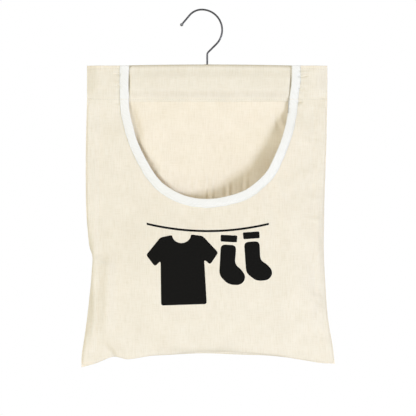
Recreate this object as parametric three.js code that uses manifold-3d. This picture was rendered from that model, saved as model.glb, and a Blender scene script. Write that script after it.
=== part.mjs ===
// Peg bag: a calico pouch with a taped U-shaped mouth, hung from a wooden bar with a swivelling wire hook.
// Millimetres, +Z up, the mouth faces -Y. The origin is where a clothes line bears on the hook, straight
// above the shank, so the swivel axis is Z.
import * as THREE from 'three';
import { mergeVertices } from 'three/addons/utils/BufferGeometryUtils.js';
import Module from 'manifold-3d';

const wasm = await Module();
wasm.setup();

const { clamp, degToRad, lerp, smoothstep } = THREE.MathUtils;

// Hook: straight shank, sloping neck, round bow, and a tighter curve past the crown to the tip.
const WIRE_RADIUS = 1.2;
const BOW_RADIUS = 25.4;
const BOW_OFFSET = -6.75;
const NECK_SLOPE = degToRad(45);
const NECK_BEND_RADIUS = 5;
const TIP_CURVE_RADIUS = 20;
const TIP_CURVE_TURN = degToRad(50);
const TIP_RUN = 15;
const TIP_BALL_RADIUS = 2.1;
const TIP_BALL_BORE_DEPTH = 2;
const RIVET_RADIUS = 2.4;
const RIVET_HEIGHT = 1.5;
const WASHER_RADIUS = 3;
const WASHER_HEIGHT = 0.8;
const RIVET_CROWN_SHARE = 0.6;

// Thicknesses of the cloth, the tape and the thread, and the air between pieces that touch.
const CLOTH = 0.8;
const TAPE = 0.6;
const THREAD_RADIUS = 0.25;
const GAP = 0.3;

// Outline of the bag: a straight top with a casing, sides drawn in at the waist, and two pointed corners.
const TOP_Z = -66.5;
const TOP_ARCH = 2.5;
const STITCH_Z = -110;
const HEM_DROP = 2.6;
const TOP_HALF_WIDTH = 150;
const WAIST_Z = -305;
const WAIST_HALF_WIDTH = 143.5;
const CORNER_HALF_WIDTH = 158;
const CORNER_CURVE = 1.7;
const BOTTOM_Z = -428;
const BOTTOM_ARCH = 15;
const BOTTOM_CURVE = 2.5;
const CORNER_Z = BOTTOM_Z - BOTTOM_ARCH;

// How far the two panels belly out: a flat middle that falls off to the casing and the sides, and faster to
// the bottom seam. Beside the mouth the belly is shallower towards the left.
const FRONT_BELLY = 18.2;
const BACK_BELLY = 11.6;
const BELLY_POWER = 4.5;
const BELLY_BOTTOM_POWER = 11;
const MOUTH_LEAN = 0.68;
const MOUTH_LEAN_X = [-110, 60];
const MOUTH_LEAN_DOWN = [0.4, 0.65];

// Mouth: straight edges on the straps, of which the right one leans out to the top, and below the stitch line
// a curve through places in X and Z. It is bound with folded tape.
const MOUTH_LEFT_X = -98;
const MOUTH_RIGHT_X = 103.1;
const STRAP_LEAN = 2.1;
const MOUTH_CURVE = [
  [-97.2, -122], [-93.7, -141], [-76.4, -186], [-54, -216], [-30, -230], [-2, -234.6],
  [28, -230.6], [49, -222.6], [68.5, -206.8], [85, -178.5], [96.3, -148.5], [102.3, -120],
];
const TAPE_WIDTH = 11;
const TAPE_STITCH_INSET = 1.5;

// Wooden bar in the casing, bored for the shank and counterbored below for the rivet.
const BAR_HALF_LENGTH = 140;
const BAR_HEIGHT = 26;
const BAR_DEPTH = 9;
const BAR_EDGE = 4.4;
const BAR_HOLE_RADIUS = 1.6;
const BAR_RECESS_RADIUS = 3.4;
const BAR_RECESS_HEIGHT = 8;

// Seam allowances inside the bag, and the hole in the fold for the shank.
const SEAM_WIDTH = 9.5;
const SEAM_THICKNESS = 1.6;
const SEAM_INSET = 0.4;
const SIDE_SEAM_TOP_DROP = 4;
const SIDE_SEAM_END_RISE = 3;
const BOTTOM_SEAM_REACH = 0.92;
const SLIT_RADIUS = 2.4;
const SLIT_RING_RADIUS = 3.1;
const STRAP_STITCH_DROP = 4;
const STITCH_END_INSET = 4;
const STITCH_REACH = TOP_HALF_WIDTH - STITCH_END_INSET;

// Depth of a cloth layer's middle from the bag's middle plane: round the bar, at a seam, at the stitch line.
const WRAP_DEPTH = BAR_DEPTH / 2 + GAP + CLOTH / 2;
const SEAM_DEPTH = SEAM_THICKNESS / 2 + GAP + CLOTH / 2;
const STITCHED_DEPTH = (GAP + CLOTH) / 2;
const STITCHED_REACH = 8;
const STITCHED_FADE = 60;
const STITCHED_HALF_WIDTH = [120, 138];

// The straps lie over the casing with one layer of tape between.
const STRAP_LIFT = CLOTH + TAPE + 2 * GAP;
const STRAP_FADE = 52;
const TAPE_OFFSET = CLOTH / 2 + GAP + TAPE / 2;
const MOUTH_CUT_PLAY = 0.2;
const MOUTH_CUT = TAPE_OFFSET + MOUTH_CUT_PLAY;
const MOUTH_CUT_DEPTH = 4 * FRONT_BELLY;

// Where the casing's stitches climb on to the tape and down to the strap, from the edge of the mouth.
const CLIMB_TO_TAPE = [-TAPE_WIDTH / 2, -2 * TAPE];
const STEP_TO_STRAP = [TAPE_WIDTH + TAPE, 1.5 * TAPE_WIDTH];

// Heights along the shank.
const BOW_Z = -Math.sqrt((BOW_RADIUS - WIRE_RADIUS) ** 2 - BOW_OFFSET ** 2);
const BAR_TOP_Z = TOP_Z - CLOTH - GAP;
const BAR_ENDS_LOW_Z = BAR_TOP_Z - TOP_ARCH - BAR_HEIGHT;
const RECESS_Z = BAR_TOP_Z - BAR_HEIGHT + BAR_RECESS_HEIGHT;
const WASHER_TOP_Z = RECESS_Z - GAP;
const RIVET_TOP_Z = WASHER_TOP_Z - WASHER_HEIGHT - GAP;
const RIVET_LOW_Z = RIVET_TOP_Z - RIVET_HEIGHT;

// Grid steps that the panels and the tape share, so that their layers bend alike.
const COLUMNS = [-1, -0.97, ...span(20, -0.94, 0.94), 0.97, 1];
const CASING_SHARES = [0, 0.3, 0.6, 0.7, 0.8, 0.9, 1];
const BELLY_SHARES = [...span(20, 0, 0.91), 0.94, 0.97, 1];
const FOLD_ANGLES = span(6, Math.PI / 8, (7 * Math.PI) / 8);

// Sides and steps of round and curved pieces, and the distance at which points are joined.
const WELD = 1e-4;
const WIRE_SIDES = 8;
const ROUND_SIDES = 20;
const THREAD_SIDES = 4;
const RING_SIDES = 6;
const EDGE_STEPS = 4;
const ARC_STEPS = 12;
const HOOK_POINTS = 80;
const HOOK_STEPS = 56;
const MOUTH_STEPS = 36;
const TAPE_FOLD_STEPS = 4;
const CASING_STITCH_STEPS = 96;
const BACK_STITCH_STEPS = 48;
const STRAP_STITCH_STEPS = 24;
const SIDE_SEAM_STEPS = 36;
const BOTTOM_SEAM_STEPS = 32;

const calico = new THREE.MeshStandardMaterial({ color: 0xf2ebd9, roughness: 0.92, metalness: 0 });
const tape = new THREE.MeshStandardMaterial({ color: 0xfafaf5, roughness: 0.85, metalness: 0 });
const thread = new THREE.MeshStandardMaterial({ color: 0xefe7d3, roughness: 0.8, metalness: 0 });
const whiteThread = new THREE.MeshStandardMaterial({ color: 0xf7f7f2, roughness: 0.8, metalness: 0 });
const steel = new THREE.MeshStandardMaterial({ color: 0x8f8f8d, roughness: 0.25, metalness: 1 });
const capMetal = new THREE.MeshStandardMaterial({ color: 0xb9b9b6, roughness: 0.4, metalness: 1 });
const wood = new THREE.MeshStandardMaterial({ color: 0xd8b98c, roughness: 0.6, metalness: 0 });

function span(count, from, to) {
  return Array.from({ length: count + 1 }, (_, i) => from + ((to - from) * i) / count);
}

// Outline of the bag at a height, and its top and bottom edges at a share of the half width.
function halfWidth(z) {
  if (z > WAIST_Z) {
    return lerp(WAIST_HALF_WIDTH, TOP_HALF_WIDTH, smoothstep(z, WAIST_Z, STITCH_Z));
  }
  const down = (WAIST_Z - z) / (WAIST_Z - CORNER_Z);
  return WAIST_HALF_WIDTH + (CORNER_HALF_WIDTH - WAIST_HALF_WIDTH) * down ** CORNER_CURVE;
}

function topZ(side) {
  return TOP_Z - TOP_ARCH * side ** 2;
}

function bottomZ(side) {
  return BOTTOM_Z - BOTTOM_ARCH * Math.abs(side) ** BOTTOM_CURVE;
}

// Share of the full belly at a place on a panel: none on the casing and at the seams.
function belly(x, z) {
  const side = Math.min(Math.abs(x) / halfWidth(z), 1);
  const down = clamp((STITCH_Z - z) / (STITCH_Z - bottomZ(side)), 0, 1);
  const across = 1 - side ** BELLY_POWER;
  const rise = 1 - (1 - down) ** BELLY_POWER;
  const fall = 1 - down ** BELLY_BOTTOM_POWER;
  const leftOfMouth = (1 - smoothstep(x, ...MOUTH_LEAN_X)) * (1 - smoothstep(down, ...MOUTH_LEAN_DOWN));
  return across * rise * fall * (1 - MOUTH_LEAN * leftOfMouth);
}

// Depth of a layer of the casing: round the bar, closed at the stitch line and at the side seams.
function layerDepth(x, z) {
  const inMiddle = 1 - smoothstep(Math.abs(x), ...STITCHED_HALF_WIDTH);
  const atStitches = 1 - smoothstep(Math.abs(z - STITCH_Z), STITCHED_REACH, STITCHED_FADE);
  const closed = lerp(SEAM_DEPTH, STITCHED_DEPTH, inMiddle * atStitches);
  const alongBar = 1 - smoothstep(Math.abs(x), BAR_HALF_LENGTH, TOP_HALF_WIDTH);
  const besideBar = smoothstep(z, STITCH_Z, BAR_ENDS_LOW_Z);
  return lerp(closed, WRAP_DEPTH, alongBar * besideBar);
}

function frontY(x, z) {
  const liftZ = STITCH_Z - STITCHED_REACH;
  const lift = STRAP_LIFT * smoothstep(z, liftZ - STRAP_FADE, liftZ);
  return -(layerDepth(x, z) + lift + FRONT_BELLY * belly(x, z));
}

function backY(x, z) {
  return layerDepth(x, z) + BACK_BELLY * belly(x, z);
}

// A row of the casing, from where the fold over the bar ends down to the stitch line.
function casingZ(side, share) {
  return lerp(topZ(side) - CLOTH / 2 - WRAP_DEPTH, STITCH_Z, share);
}

function bellyZ(side, share) {
  return lerp(STITCH_Z, bottomZ(side), share);
}

// Edge of the left or the right strap at a height above the stitch line.
function strapEdgeX(sign, z) {
  const up = clamp((z - STITCH_Z) / (TOP_Z - STITCH_Z), 0, 1);
  return sign < 0 ? MOUTH_LEFT_X : MOUTH_RIGHT_X + STRAP_LEAN * up;
}

// Places along the edge of the mouth, from the top of the left strap round to the top of the right one,
// each with the direction away from the opening.
function mouthStations() {
  const tapeSide = MOUTH_RIGHT_X / TOP_HALF_WIDTH;
  const casingHeights = CASING_SHARES.slice(0, -1).map((share) => casingZ(tapeSide, share));
  const heights = [topZ(tapeSide) - CLOTH, ...casingHeights];
  const edge = (sign) => heights.map((z) => ({ x: strapEdgeX(sign, z), z, out: new THREE.Vector2(sign, 0) }));
  const places = [[MOUTH_LEFT_X, STITCH_Z], ...MOUTH_CURVE, [MOUTH_RIGHT_X, STITCH_Z]];
  const line = smoothCurve(places.map(([x, z]) => new THREE.Vector3(x, 0, z)));
  const curve = span(MOUTH_STEPS, 0, 1).map((share) => {
    const { x, z } = line.getPointAt(share);
    const along = line.getTangentAt(share);
    return { x, z, out: new THREE.Vector2(along.z, -along.x) };
  });
  return [...edge(-1), ...curve, ...edge(1).reverse()];
}

// A place beside the edge of the mouth, lying in front of the front panel's middle by the given depth.
function besideMouth(station, outward, forward) {
  const x = station.x + station.out.x * outward;
  const z = station.z + station.out.y * outward;
  return new THREE.Vector3(x, frontY(x, z) - forward, z);
}

// A sheet of even thickness round a grid of points, closed along its four edges.
function sheet(grid, thickness) {
  const rows = grid.length;
  const columns = grid[0].length;
  const at = (row, column) => grid[clamp(row, 0, rows - 1)][clamp(column, 0, columns - 1)];
  const positions = [];
  for (const side of [1, -1]) {
    for (let row = 0; row < rows; row += 1) {
      for (let column = 0; column < columns; column += 1) {
        const across = at(row, column + 1).clone().sub(at(row, column - 1));
        const along = at(row + 1, column).clone().sub(at(row - 1, column));
        const normal = across.cross(along).normalize();
        const point = at(row, column).clone().addScaledVector(normal, (side * thickness) / 2);
        positions.push(point.x, point.y, point.z);
      }
    }
  }
  const front = (row, column) => row * columns + column;
  const behind = rows * columns;
  const faces = [];
  const quad = (a, b, c, d) => faces.push(a, b, c, a, c, d);
  for (let row = 0; row < rows - 1; row += 1) {
    for (let column = 0; column < columns - 1; column += 1) {
      const corners = [
        front(row, column),
        front(row, column + 1),
        front(row + 1, column + 1),
        front(row + 1, column),
      ];
      quad(...corners);
      quad(...corners.reverse().map((corner) => corner + behind));
    }
  }
  const lastRow = rows - 1;
  const lastColumn = columns - 1;
  const border = [];
  for (let column = 0; column < lastColumn; column += 1) border.push(front(0, column));
  for (let row = 0; row < lastRow; row += 1) border.push(front(row, lastColumn));
  for (let column = lastColumn; column > 0; column -= 1) border.push(front(lastRow, column));
  for (let row = lastRow; row > 0; row -= 1) border.push(front(row, 0));
  border.forEach((from, i) => {
    const to = border[(i + 1) % border.length];
    quad(to, from, from + behind, to + behind);
  });
  const geometry = new THREE.BufferGeometry();
  geometry.setAttribute('position', new THREE.Float32BufferAttribute(positions, 3));
  geometry.setIndex(faces);
  return geometry;
}

// A round rod of a radius along a curve.
function rod(curve, radius, sides, steps) {
  const section = new THREE.Shape(
    span(sides - 1, 0, sides - 1).map((i) => {
      const angle = (2 * Math.PI * i) / sides;
      return new THREE.Vector2(radius * Math.cos(angle), radius * Math.sin(angle));
    }),
  );
  return new THREE.ExtrudeGeometry(section, { steps, bevelEnabled: false, extrudePath: curve });
}

function smoothCurve(points) {
  return new THREE.CatmullRomCurve3(points, false, 'centripetal');
}

// A solid of a shape drawn in X and Z, with its middle at Y = 0.
function slab(shape, depth, edge = 0) {
  const geometry = new THREE.ExtrudeGeometry(shape, {
    depth: depth - 2 * edge,
    curveSegments: ARC_STEPS,
    bevelEnabled: edge > 0,
    bevelThickness: edge,
    bevelSize: edge,
    bevelOffset: -edge,
    bevelSegments: EDGE_STEPS,
  });
  return geometry.translate(0, 0, edge - depth / 2).rotateX(Math.PI / 2);
}

function post(radius, lowZ, highZ) {
  const geometry = new THREE.CylinderGeometry(radius, radius, highZ - lowZ, ROUND_SIDES);
  return geometry.rotateX(Math.PI / 2).translate(0, 0, (lowZ + highZ) / 2);
}

// Joining and cutting closed meshes.
function toSolid(geometry) {
  const bare = geometry.clone();
  bare.deleteAttribute('normal');
  bare.deleteAttribute('uv');
  const merged = mergeVertices(bare, WELD);
  return new wasm.Manifold(
    new wasm.Mesh({
      numProp: 3,
      vertProperties: Float32Array.from(merged.attributes.position.array),
      triVerts: Uint32Array.from(merged.index.array),
    }),
  );
}

function toGeometry(solid) {
  const mesh = solid.getMesh();
  const geometry = new THREE.BufferGeometry();
  geometry.setAttribute('position', new THREE.BufferAttribute(Float32Array.from(mesh.vertProperties), 3));
  geometry.setIndex(Array.from(mesh.triVerts));
  return geometry;
}

function join(geometry, other) {
  return toGeometry(toSolid(geometry).add(toSolid(other)));
}

function cut(geometry, ...tools) {
  return toGeometry(tools.reduce((solid, tool) => solid.subtract(toSolid(tool)), toSolid(geometry)));
}

// The hook's centre line in X and Z, from the rivet up to the tip.
function hookPath() {
  const tangentX = BOW_OFFSET + BOW_RADIUS * Math.sin(NECK_SLOPE);
  const tangentZ = BOW_Z - BOW_RADIUS * Math.cos(NECK_SLOPE);
  const bendZ = tangentZ - tangentX * Math.tan(NECK_SLOPE);
  const bendStartZ = bendZ - NECK_BEND_RADIUS * Math.tan(NECK_SLOPE / 2);
  const tipCentreZ = BOW_Z + BOW_RADIUS - TIP_CURVE_RADIUS;
  const tipAngle = Math.PI / 2 + TIP_CURVE_TURN;
  const path = new THREE.Path();
  path.moveTo(0, RIVET_TOP_Z - RIVET_HEIGHT / 2);
  path.lineTo(0, bendStartZ);
  path.absarc(NECK_BEND_RADIUS, bendStartZ, NECK_BEND_RADIUS, Math.PI, Math.PI - NECK_SLOPE, true);
  path.absarc(BOW_OFFSET, BOW_Z, BOW_RADIUS, -NECK_SLOPE, Math.PI / 2, false);
  path.absarc(BOW_OFFSET, tipCentreZ, TIP_CURVE_RADIUS, Math.PI / 2, tipAngle, false);
  const tip = path.currentPoint.clone();
  path.lineTo(tip.x - TIP_RUN * Math.sin(tipAngle), tip.y + TIP_RUN * Math.cos(tipAngle));
  return path;
}

function hookCurve() {
  const points = hookPath().getSpacedPoints(HOOK_POINTS);
  return smoothCurve(points.map((point) => new THREE.Vector3(point.x, 0, point.y)));
}

function hookWire() {
  const rivetProfile = [
    new THREE.Vector2(0, RIVET_LOW_Z),
    new THREE.Vector2(RIVET_RADIUS * RIVET_CROWN_SHARE, RIVET_LOW_Z),
    new THREE.Vector2(RIVET_RADIUS, RIVET_LOW_Z + RIVET_HEIGHT / 2),
    new THREE.Vector2(RIVET_RADIUS, RIVET_TOP_Z),
    new THREE.Vector2(0, RIVET_TOP_Z),
  ];
  const rivet = new THREE.LatheGeometry(rivetProfile, ROUND_SIDES).rotateX(Math.PI / 2);
  return join(rod(hookCurve(), WIRE_RADIUS, WIRE_SIDES, HOOK_STEPS), rivet);
}

function hookEndBall() {
  const curve = hookCurve();
  const tip = curve.getPointAt(1);
  const direction = curve.getTangentAt(1);
  const ball = new THREE.SphereGeometry(TIP_BALL_RADIUS, ROUND_SIDES, ROUND_SIDES / 2);
  const boreRadius = WIRE_RADIUS + GAP;
  const bore = new THREE.CylinderGeometry(boreRadius, boreRadius, 2 * TIP_BALL_RADIUS, ROUND_SIDES);
  bore.translate(0, TIP_BALL_BORE_DEPTH - 2 * TIP_BALL_RADIUS, 0);
  const turn = new THREE.Quaternion().setFromUnitVectors(new THREE.Vector3(0, 1, 0), direction);
  const centre = tip.addScaledVector(direction, TIP_BALL_RADIUS - TIP_BALL_BORE_DEPTH + GAP);
  return cut(ball, bore).applyQuaternion(turn).translate(centre.x, centre.y, centre.z);
}

function swivelWasher() {
  const inner = WIRE_RADIUS + GAP;
  const low = WASHER_TOP_Z - WASHER_HEIGHT;
  const profile = [
    new THREE.Vector2(inner, low),
    new THREE.Vector2(WASHER_RADIUS, low),
    new THREE.Vector2(WASHER_RADIUS, WASHER_TOP_Z),
    new THREE.Vector2(inner, WASHER_TOP_Z),
    new THREE.Vector2(inner, low),
  ];
  return new THREE.LatheGeometry(profile, ROUND_SIDES).rotateX(Math.PI / 2);
}

function hangerBar() {
  const endZ = BAR_TOP_Z - TOP_ARCH * (BAR_HALF_LENGTH / TOP_HALF_WIDTH) ** 2;
  const crownZ = 2 * BAR_TOP_Z - endZ;
  const shape = new THREE.Shape();
  shape.moveTo(-BAR_HALF_LENGTH, endZ - BAR_HEIGHT);
  shape.quadraticCurveTo(0, crownZ - BAR_HEIGHT, BAR_HALF_LENGTH, endZ - BAR_HEIGHT);
  shape.lineTo(BAR_HALF_LENGTH, endZ);
  shape.quadraticCurveTo(0, crownZ, -BAR_HALF_LENGTH, endZ);
  const hole = post(BAR_HOLE_RADIUS, BAR_ENDS_LOW_Z, TOP_Z);
  const recess = post(BAR_RECESS_RADIUS, BAR_ENDS_LOW_Z - TOP_ARCH, RECESS_Z);
  return cut(slab(shape, BAR_DEPTH, BAR_EDGE), hole, recess);
}

// The back panel runs up from the bottom seam, over the bar and down the front to the hem of the casing.
function backPanel() {
  const back = (heightAt) => (side) => {
    const z = heightAt(side);
    const x = side * halfWidth(z);
    return new THREE.Vector3(x, backY(x, z), z);
  };
  const casingFront = (heightAt) => (side) => {
    const z = heightAt(side);
    const x = side * halfWidth(z);
    return new THREE.Vector3(x, -layerDepth(x, z), z);
  };
  const fold = (angle) => (side) => {
    const foldZ = casingZ(side, 0);
    const x = side * halfWidth(foldZ);
    return new THREE.Vector3(x, layerDepth(x, foldZ) * Math.cos(angle), foldZ + WRAP_DEPTH * Math.sin(angle));
  };
  const rows = [
    ...BELLY_SHARES.toReversed().map((share) => back((side) => bellyZ(side, share))),
    ...CASING_SHARES.toReversed().slice(1).map((share) => back((side) => casingZ(side, share))),
    ...FOLD_ANGLES.map((angle) => fold(angle)),
    ...CASING_SHARES.map((share) => casingFront((side) => casingZ(side, share))),
    casingFront(() => STITCH_Z - HEM_DROP),
  ];
  const cloth = sheet(rows.map((row) => COLUMNS.map((side) => row(side))), CLOTH);
  return cut(cloth, post(SLIT_RADIUS, BAR_TOP_Z - WRAP_DEPTH / 2, TOP_Z + WRAP_DEPTH));
}

function frontPanel() {
  const heights = [
    (side) => topZ(side) - CLOTH,
    ...CASING_SHARES.map((share) => (side) => casingZ(side, share)),
    ...BELLY_SHARES.slice(1).map((share) => (side) => bellyZ(side, share)),
  ];
  const grid = heights.map((heightAt) => COLUMNS.map((side) => {
    const z = heightAt(side);
    const x = side * halfWidth(z);
    return new THREE.Vector3(x, frontY(x, z), z);
  }));
  const edge = mouthStations().map((station) => besideMouth(station, MOUTH_CUT, 0));
  const left = edge[0];
  const right = edge.at(-1);
  const mouth = new THREE.Shape([
    new THREE.Vector2(left.x, 0),
    ...edge.map((point) => new THREE.Vector2(point.x, point.z)),
    new THREE.Vector2(right.x, 0),
  ]);
  return cut(sheet(grid, CLOTH), slab(mouth, MOUTH_CUT_DEPTH));
}

// The tape's section runs from its front edge to the fold, round the raw edge of the cloth, and back inside.
function neckBinding() {
  const fold = span(TAPE_FOLD_STEPS, -Math.PI / 2, Math.PI / 2).map((angle) => ({
    outward: TAPE_OFFSET * (1 - Math.cos(angle)),
    forward: -TAPE_OFFSET * Math.sin(angle),
  }));
  const section = [
    { outward: TAPE_WIDTH, forward: TAPE_OFFSET },
    { outward: TAPE_WIDTH / 2, forward: TAPE_OFFSET },
    ...fold,
    { outward: TAPE_WIDTH / 2, forward: -TAPE_OFFSET },
    { outward: TAPE_WIDTH, forward: -TAPE_OFFSET },
  ];
  const grid = mouthStations().map((station) =>
    section.map(({ outward, forward }) => besideMouth(station, outward, forward)),
  );
  return sheet(grid, TAPE);
}

function bindingStitching(stations, facing) {
  const height = TAPE_OFFSET + TAPE / 2 + GAP + THREAD_RADIUS;
  const points = stations.map((station) =>
    besideMouth(station, TAPE_WIDTH - TAPE_STITCH_INSET, facing * height),
  );
  return rod(smoothCurve(points), THREAD_RADIUS, THREAD_SIDES, 2 * points.length);
}

// The face that shows at the front at a place on the casing: the casing itself, the tape with its stitches,
// or a strap.
function casingFaceY(x, z) {
  const fromMouth = Math.max(strapEdgeX(-1, z) - x, x - strapEdgeX(1, z));
  const onStrap = smoothstep(fromMouth, ...CLIMB_TO_TAPE);
  const onTape = onStrap * (1 - smoothstep(fromMouth, ...STEP_TO_STRAP));
  const stitchedTape = TAPE + 2 * THREAD_RADIUS + 2 * GAP;
  return -(layerDepth(x, z) + CLOTH / 2 + STRAP_LIFT * onStrap + stitchedTape * onTape);
}

function frontStitches(fromX, toX, heightAt, steps) {
  const curve = new THREE.Curve();
  curve.getPoint = (share) => {
    const x = lerp(fromX, toX, share);
    const z = heightAt(x);
    return new THREE.Vector3(x, casingFaceY(x, z) - GAP - THREAD_RADIUS, z);
  };
  return rod(curve, THREAD_RADIUS, THREAD_SIDES, steps);
}

function casingStitchingFront() {
  return frontStitches(-STITCH_REACH, STITCH_REACH, () => STITCH_Z, CASING_STITCH_STEPS);
}

function casingStitchingBack() {
  const points = span(BACK_STITCH_STEPS / 2, -STITCH_REACH, STITCH_REACH).map((x) => {
    const y = backY(x, STITCH_Z) + CLOTH / 2 + GAP + THREAD_RADIUS;
    return new THREE.Vector3(x, y, STITCH_Z);
  });
  return rod(smoothCurve(points), THREAD_RADIUS, THREAD_SIDES, BACK_STITCH_STEPS);
}

function strapStitching(sign) {
  const inner = strapEdgeX(sign, TOP_Z) + sign * TAPE;
  const heightAt = (x) => topZ(x / TOP_HALF_WIDTH) - STRAP_STITCH_DROP;
  return frontStitches(inner, sign * STITCH_REACH, heightAt, STRAP_STITCH_STEPS);
}

function sideSeam(sign) {
  const highZ = topZ(1) - SIDE_SEAM_TOP_DROP;
  const lowZ = CORNER_Z + SIDE_SEAM_END_RISE;
  const grid = span(SIDE_SEAM_STEPS, highZ, lowZ).map((z) =>
    [SEAM_INSET, SEAM_WIDTH].map((inset) => new THREE.Vector3(sign * (halfWidth(z) - inset), 0, z)),
  );
  return sheet(grid, SEAM_THICKNESS);
}

function bottomSeam() {
  const grid = [SEAM_INSET, SEAM_WIDTH].map((rise) =>
    span(BOTTOM_SEAM_STEPS, -BOTTOM_SEAM_REACH, BOTTOM_SEAM_REACH).map((side) => {
      const z = bottomZ(side) + rise;
      return new THREE.Vector3(side * halfWidth(z), 0, z);
    }),
  );
  return sheet(grid, SEAM_THICKNESS);
}

// A worked ring round the hole for the shank, lying on the fold of the casing.
function hookSlitStitching() {
  const foldRadius = WRAP_DEPTH + CLOTH / 2;
  const ring = new THREE.TorusGeometry(SLIT_RING_RADIUS, THREAD_RADIUS, RING_SIDES, ROUND_SIDES);
  const places = ring.attributes.position;
  for (let i = 0; i < places.count; i += 1) {
    const drop = foldRadius - Math.sqrt(foldRadius ** 2 - places.getY(i) ** 2);
    places.setZ(i, places.getZ(i) + TOP_Z + GAP + THREAD_RADIUS - drop);
  }
  return ring;
}

function piece(name, geometry, material) {
  geometry.computeVertexNormals();
  const mesh = new THREE.Mesh(geometry, material.clone());
  mesh.name = name;
  return mesh;
}

const stations = mouthStations();
const belowCasing = stations.filter((station) => station.z < STITCH_Z - 2 * STITCHED_REACH);

const hook = new THREE.Group();
hook.add(
  piece('hook_wire', hookWire(), steel),
  piece('hook_end_ball', hookEndBall(), capMetal),
  piece('swivel_washer', swivelWasher(), steel),
);

const bag = new THREE.Group();
bag.add(
  piece('hanger_bar', hangerBar(), wood),
  piece('back_panel', backPanel(), calico),
  piece('front_panel', frontPanel(), calico),
  piece('neck_binding', neckBinding(), tape),
  piece('casing_stitching_front', casingStitchingFront(), thread),
  piece('casing_stitching_back', casingStitchingBack(), thread),
  piece('binding_stitching_front', bindingStitching(stations, 1), whiteThread),
  piece('binding_stitching_back', bindingStitching(belowCasing, -1), whiteThread),
  piece('left_side_seam', sideSeam(-1), calico),
  piece('right_side_seam', sideSeam(1), calico),
  piece('bottom_seam', bottomSeam(), calico),
  piece('left_strap_stitching', strapStitching(-1), thread),
  piece('right_strap_stitching', strapStitching(1), thread),
  piece('hook_slit_stitching', hookSlitStitching(), thread),
);

const pegBag = new THREE.Group();
pegBag.add(hook, bag);
export default pegBag;
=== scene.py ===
"""Looks of a hanging peg bag: a calico pouch with a taped mouth, stitches, a print and a wire hook."""
import math

import bpy
import numpy as np
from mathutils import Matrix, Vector
from mathutils.geometry import delaunay_2d_cdt


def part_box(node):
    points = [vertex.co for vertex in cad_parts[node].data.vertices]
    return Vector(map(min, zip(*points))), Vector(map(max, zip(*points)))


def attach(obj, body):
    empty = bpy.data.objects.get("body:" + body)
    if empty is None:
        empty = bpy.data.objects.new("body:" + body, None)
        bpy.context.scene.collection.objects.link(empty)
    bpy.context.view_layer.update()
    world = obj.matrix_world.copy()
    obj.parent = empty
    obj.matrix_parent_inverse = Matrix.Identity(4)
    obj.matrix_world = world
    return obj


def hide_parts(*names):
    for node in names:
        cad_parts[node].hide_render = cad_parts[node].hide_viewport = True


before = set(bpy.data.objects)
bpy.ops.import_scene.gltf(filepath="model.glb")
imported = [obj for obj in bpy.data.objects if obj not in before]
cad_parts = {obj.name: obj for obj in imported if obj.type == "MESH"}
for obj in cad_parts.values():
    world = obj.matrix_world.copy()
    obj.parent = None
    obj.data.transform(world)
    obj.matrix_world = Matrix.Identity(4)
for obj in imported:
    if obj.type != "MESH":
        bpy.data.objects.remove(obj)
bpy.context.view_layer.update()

MM = 0.001
SEED = 4
rng = np.random.default_rng(SEED)


# Small helpers.

def mm(*values):
    """Sizes or places in metres from millimetres."""
    return tuple(value * MM for value in values)


def columns(*values):
    """Places, or other rows of values, from their separate coordinates."""
    return np.stack(np.broadcast_arrays(*values), -1)


def share_between(value, start, end):
    """How far a value is from one end of a range to the other, from 0 to 1."""
    return np.clip((value - start) / (end - start), 0, 1)


def smoothstep(value, start, end):
    share = share_between(value, start, end)
    return share * share * (3 - 2 * share)


def blend(first, second, share):
    return first + (second - first) * share


def between(value, start, full, falling, end):
    """Rises from 0 to 1 between two values and falls back between two others."""
    return smoothstep(value, start, full) * (1 - smoothstep(value, falling, end))


def unit(vectors):
    return vectors / np.linalg.norm(vectors, axis=-1, keepdims=True)


def curve_through(points):
    """A smooth function through a few (place, value) pairs in millimetres, in metres."""
    places, values = np.array(sorted(points), float).T * MM
    slopes = np.gradient(values, places)

    def value(place):
        place = np.clip(place, places[0], places[-1])
        i = np.clip(np.searchsorted(places, place) - 1, 0, len(places) - 2)
        step = places[i + 1] - places[i]
        t = (place - places[i]) / step
        start = values[i] * (1 + 2 * t) * (1 - t) ** 2 + slopes[i] * step * t * (1 - t) ** 2
        end = values[i + 1] * t * t * (3 - 2 * t) - slopes[i + 1] * step * t * t * (1 - t)
        return start + end

    return value


def bumps(shape, passes):
    """Seeded random swellings of about unit height over a grid, smoother with more passes."""
    field = rng.normal(0, 1, shape)
    for _ in range(passes):
        field = (field + sum(np.roll(field, step, axis) for step in (1, -1) for axis in (0, 1))) / 5
    return field / field.std()


def corners(index):
    """The four corner indices of every cell of an index grid."""
    return np.stack([index[:-1, :-1], index[:-1, 1:], index[1:, 1:], index[1:, :-1]], -1)


def tube_cells(index):
    """The cells between rings of points, as a list."""
    return corners(np.concatenate([index, index[:, :1]], 1)).reshape(-1, 4).tolist()


def tube_faces(index):
    """The cells between rings of points, and the faces that close both ends."""
    return tube_cells(index) + [index[0, ::-1].tolist(), index[-1].tolist()]


def round_ring(sides, first, second):
    """Even angles round a ring, and the directions there between two at right angles."""
    angle = np.arange(sides) * 2 * np.pi / sides
    return angle, np.cos(angle)[:, None] * first + np.sin(angle)[:, None] * second


def put(name, data):
    """Adds a thing made of some data to the scene."""
    thing = bpy.data.objects.new(name, data)
    bpy.context.scene.collection.objects.link(thing)
    return thing


def lengths_along(points):
    steps = np.linalg.norm(np.diff(points, axis=0), axis=1)
    return np.concatenate([[0], np.cumsum(steps)])


def at_distances(points, distances, *more):
    """Places along a line, and any values given at its points, at distances from its start."""
    along = lengths_along(points)
    return [
        columns(*(np.interp(distances, along, column) for column in values.T))
        for values in (points, *more)
    ]


# Places that the frame gives.
BAR_LOW, BAR_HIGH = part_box("hanger_bar")
STITCH_Z = sum(corner.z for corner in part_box("casing_stitching_front")) / 2
TOP_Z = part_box("back_panel")[1].z

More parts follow.
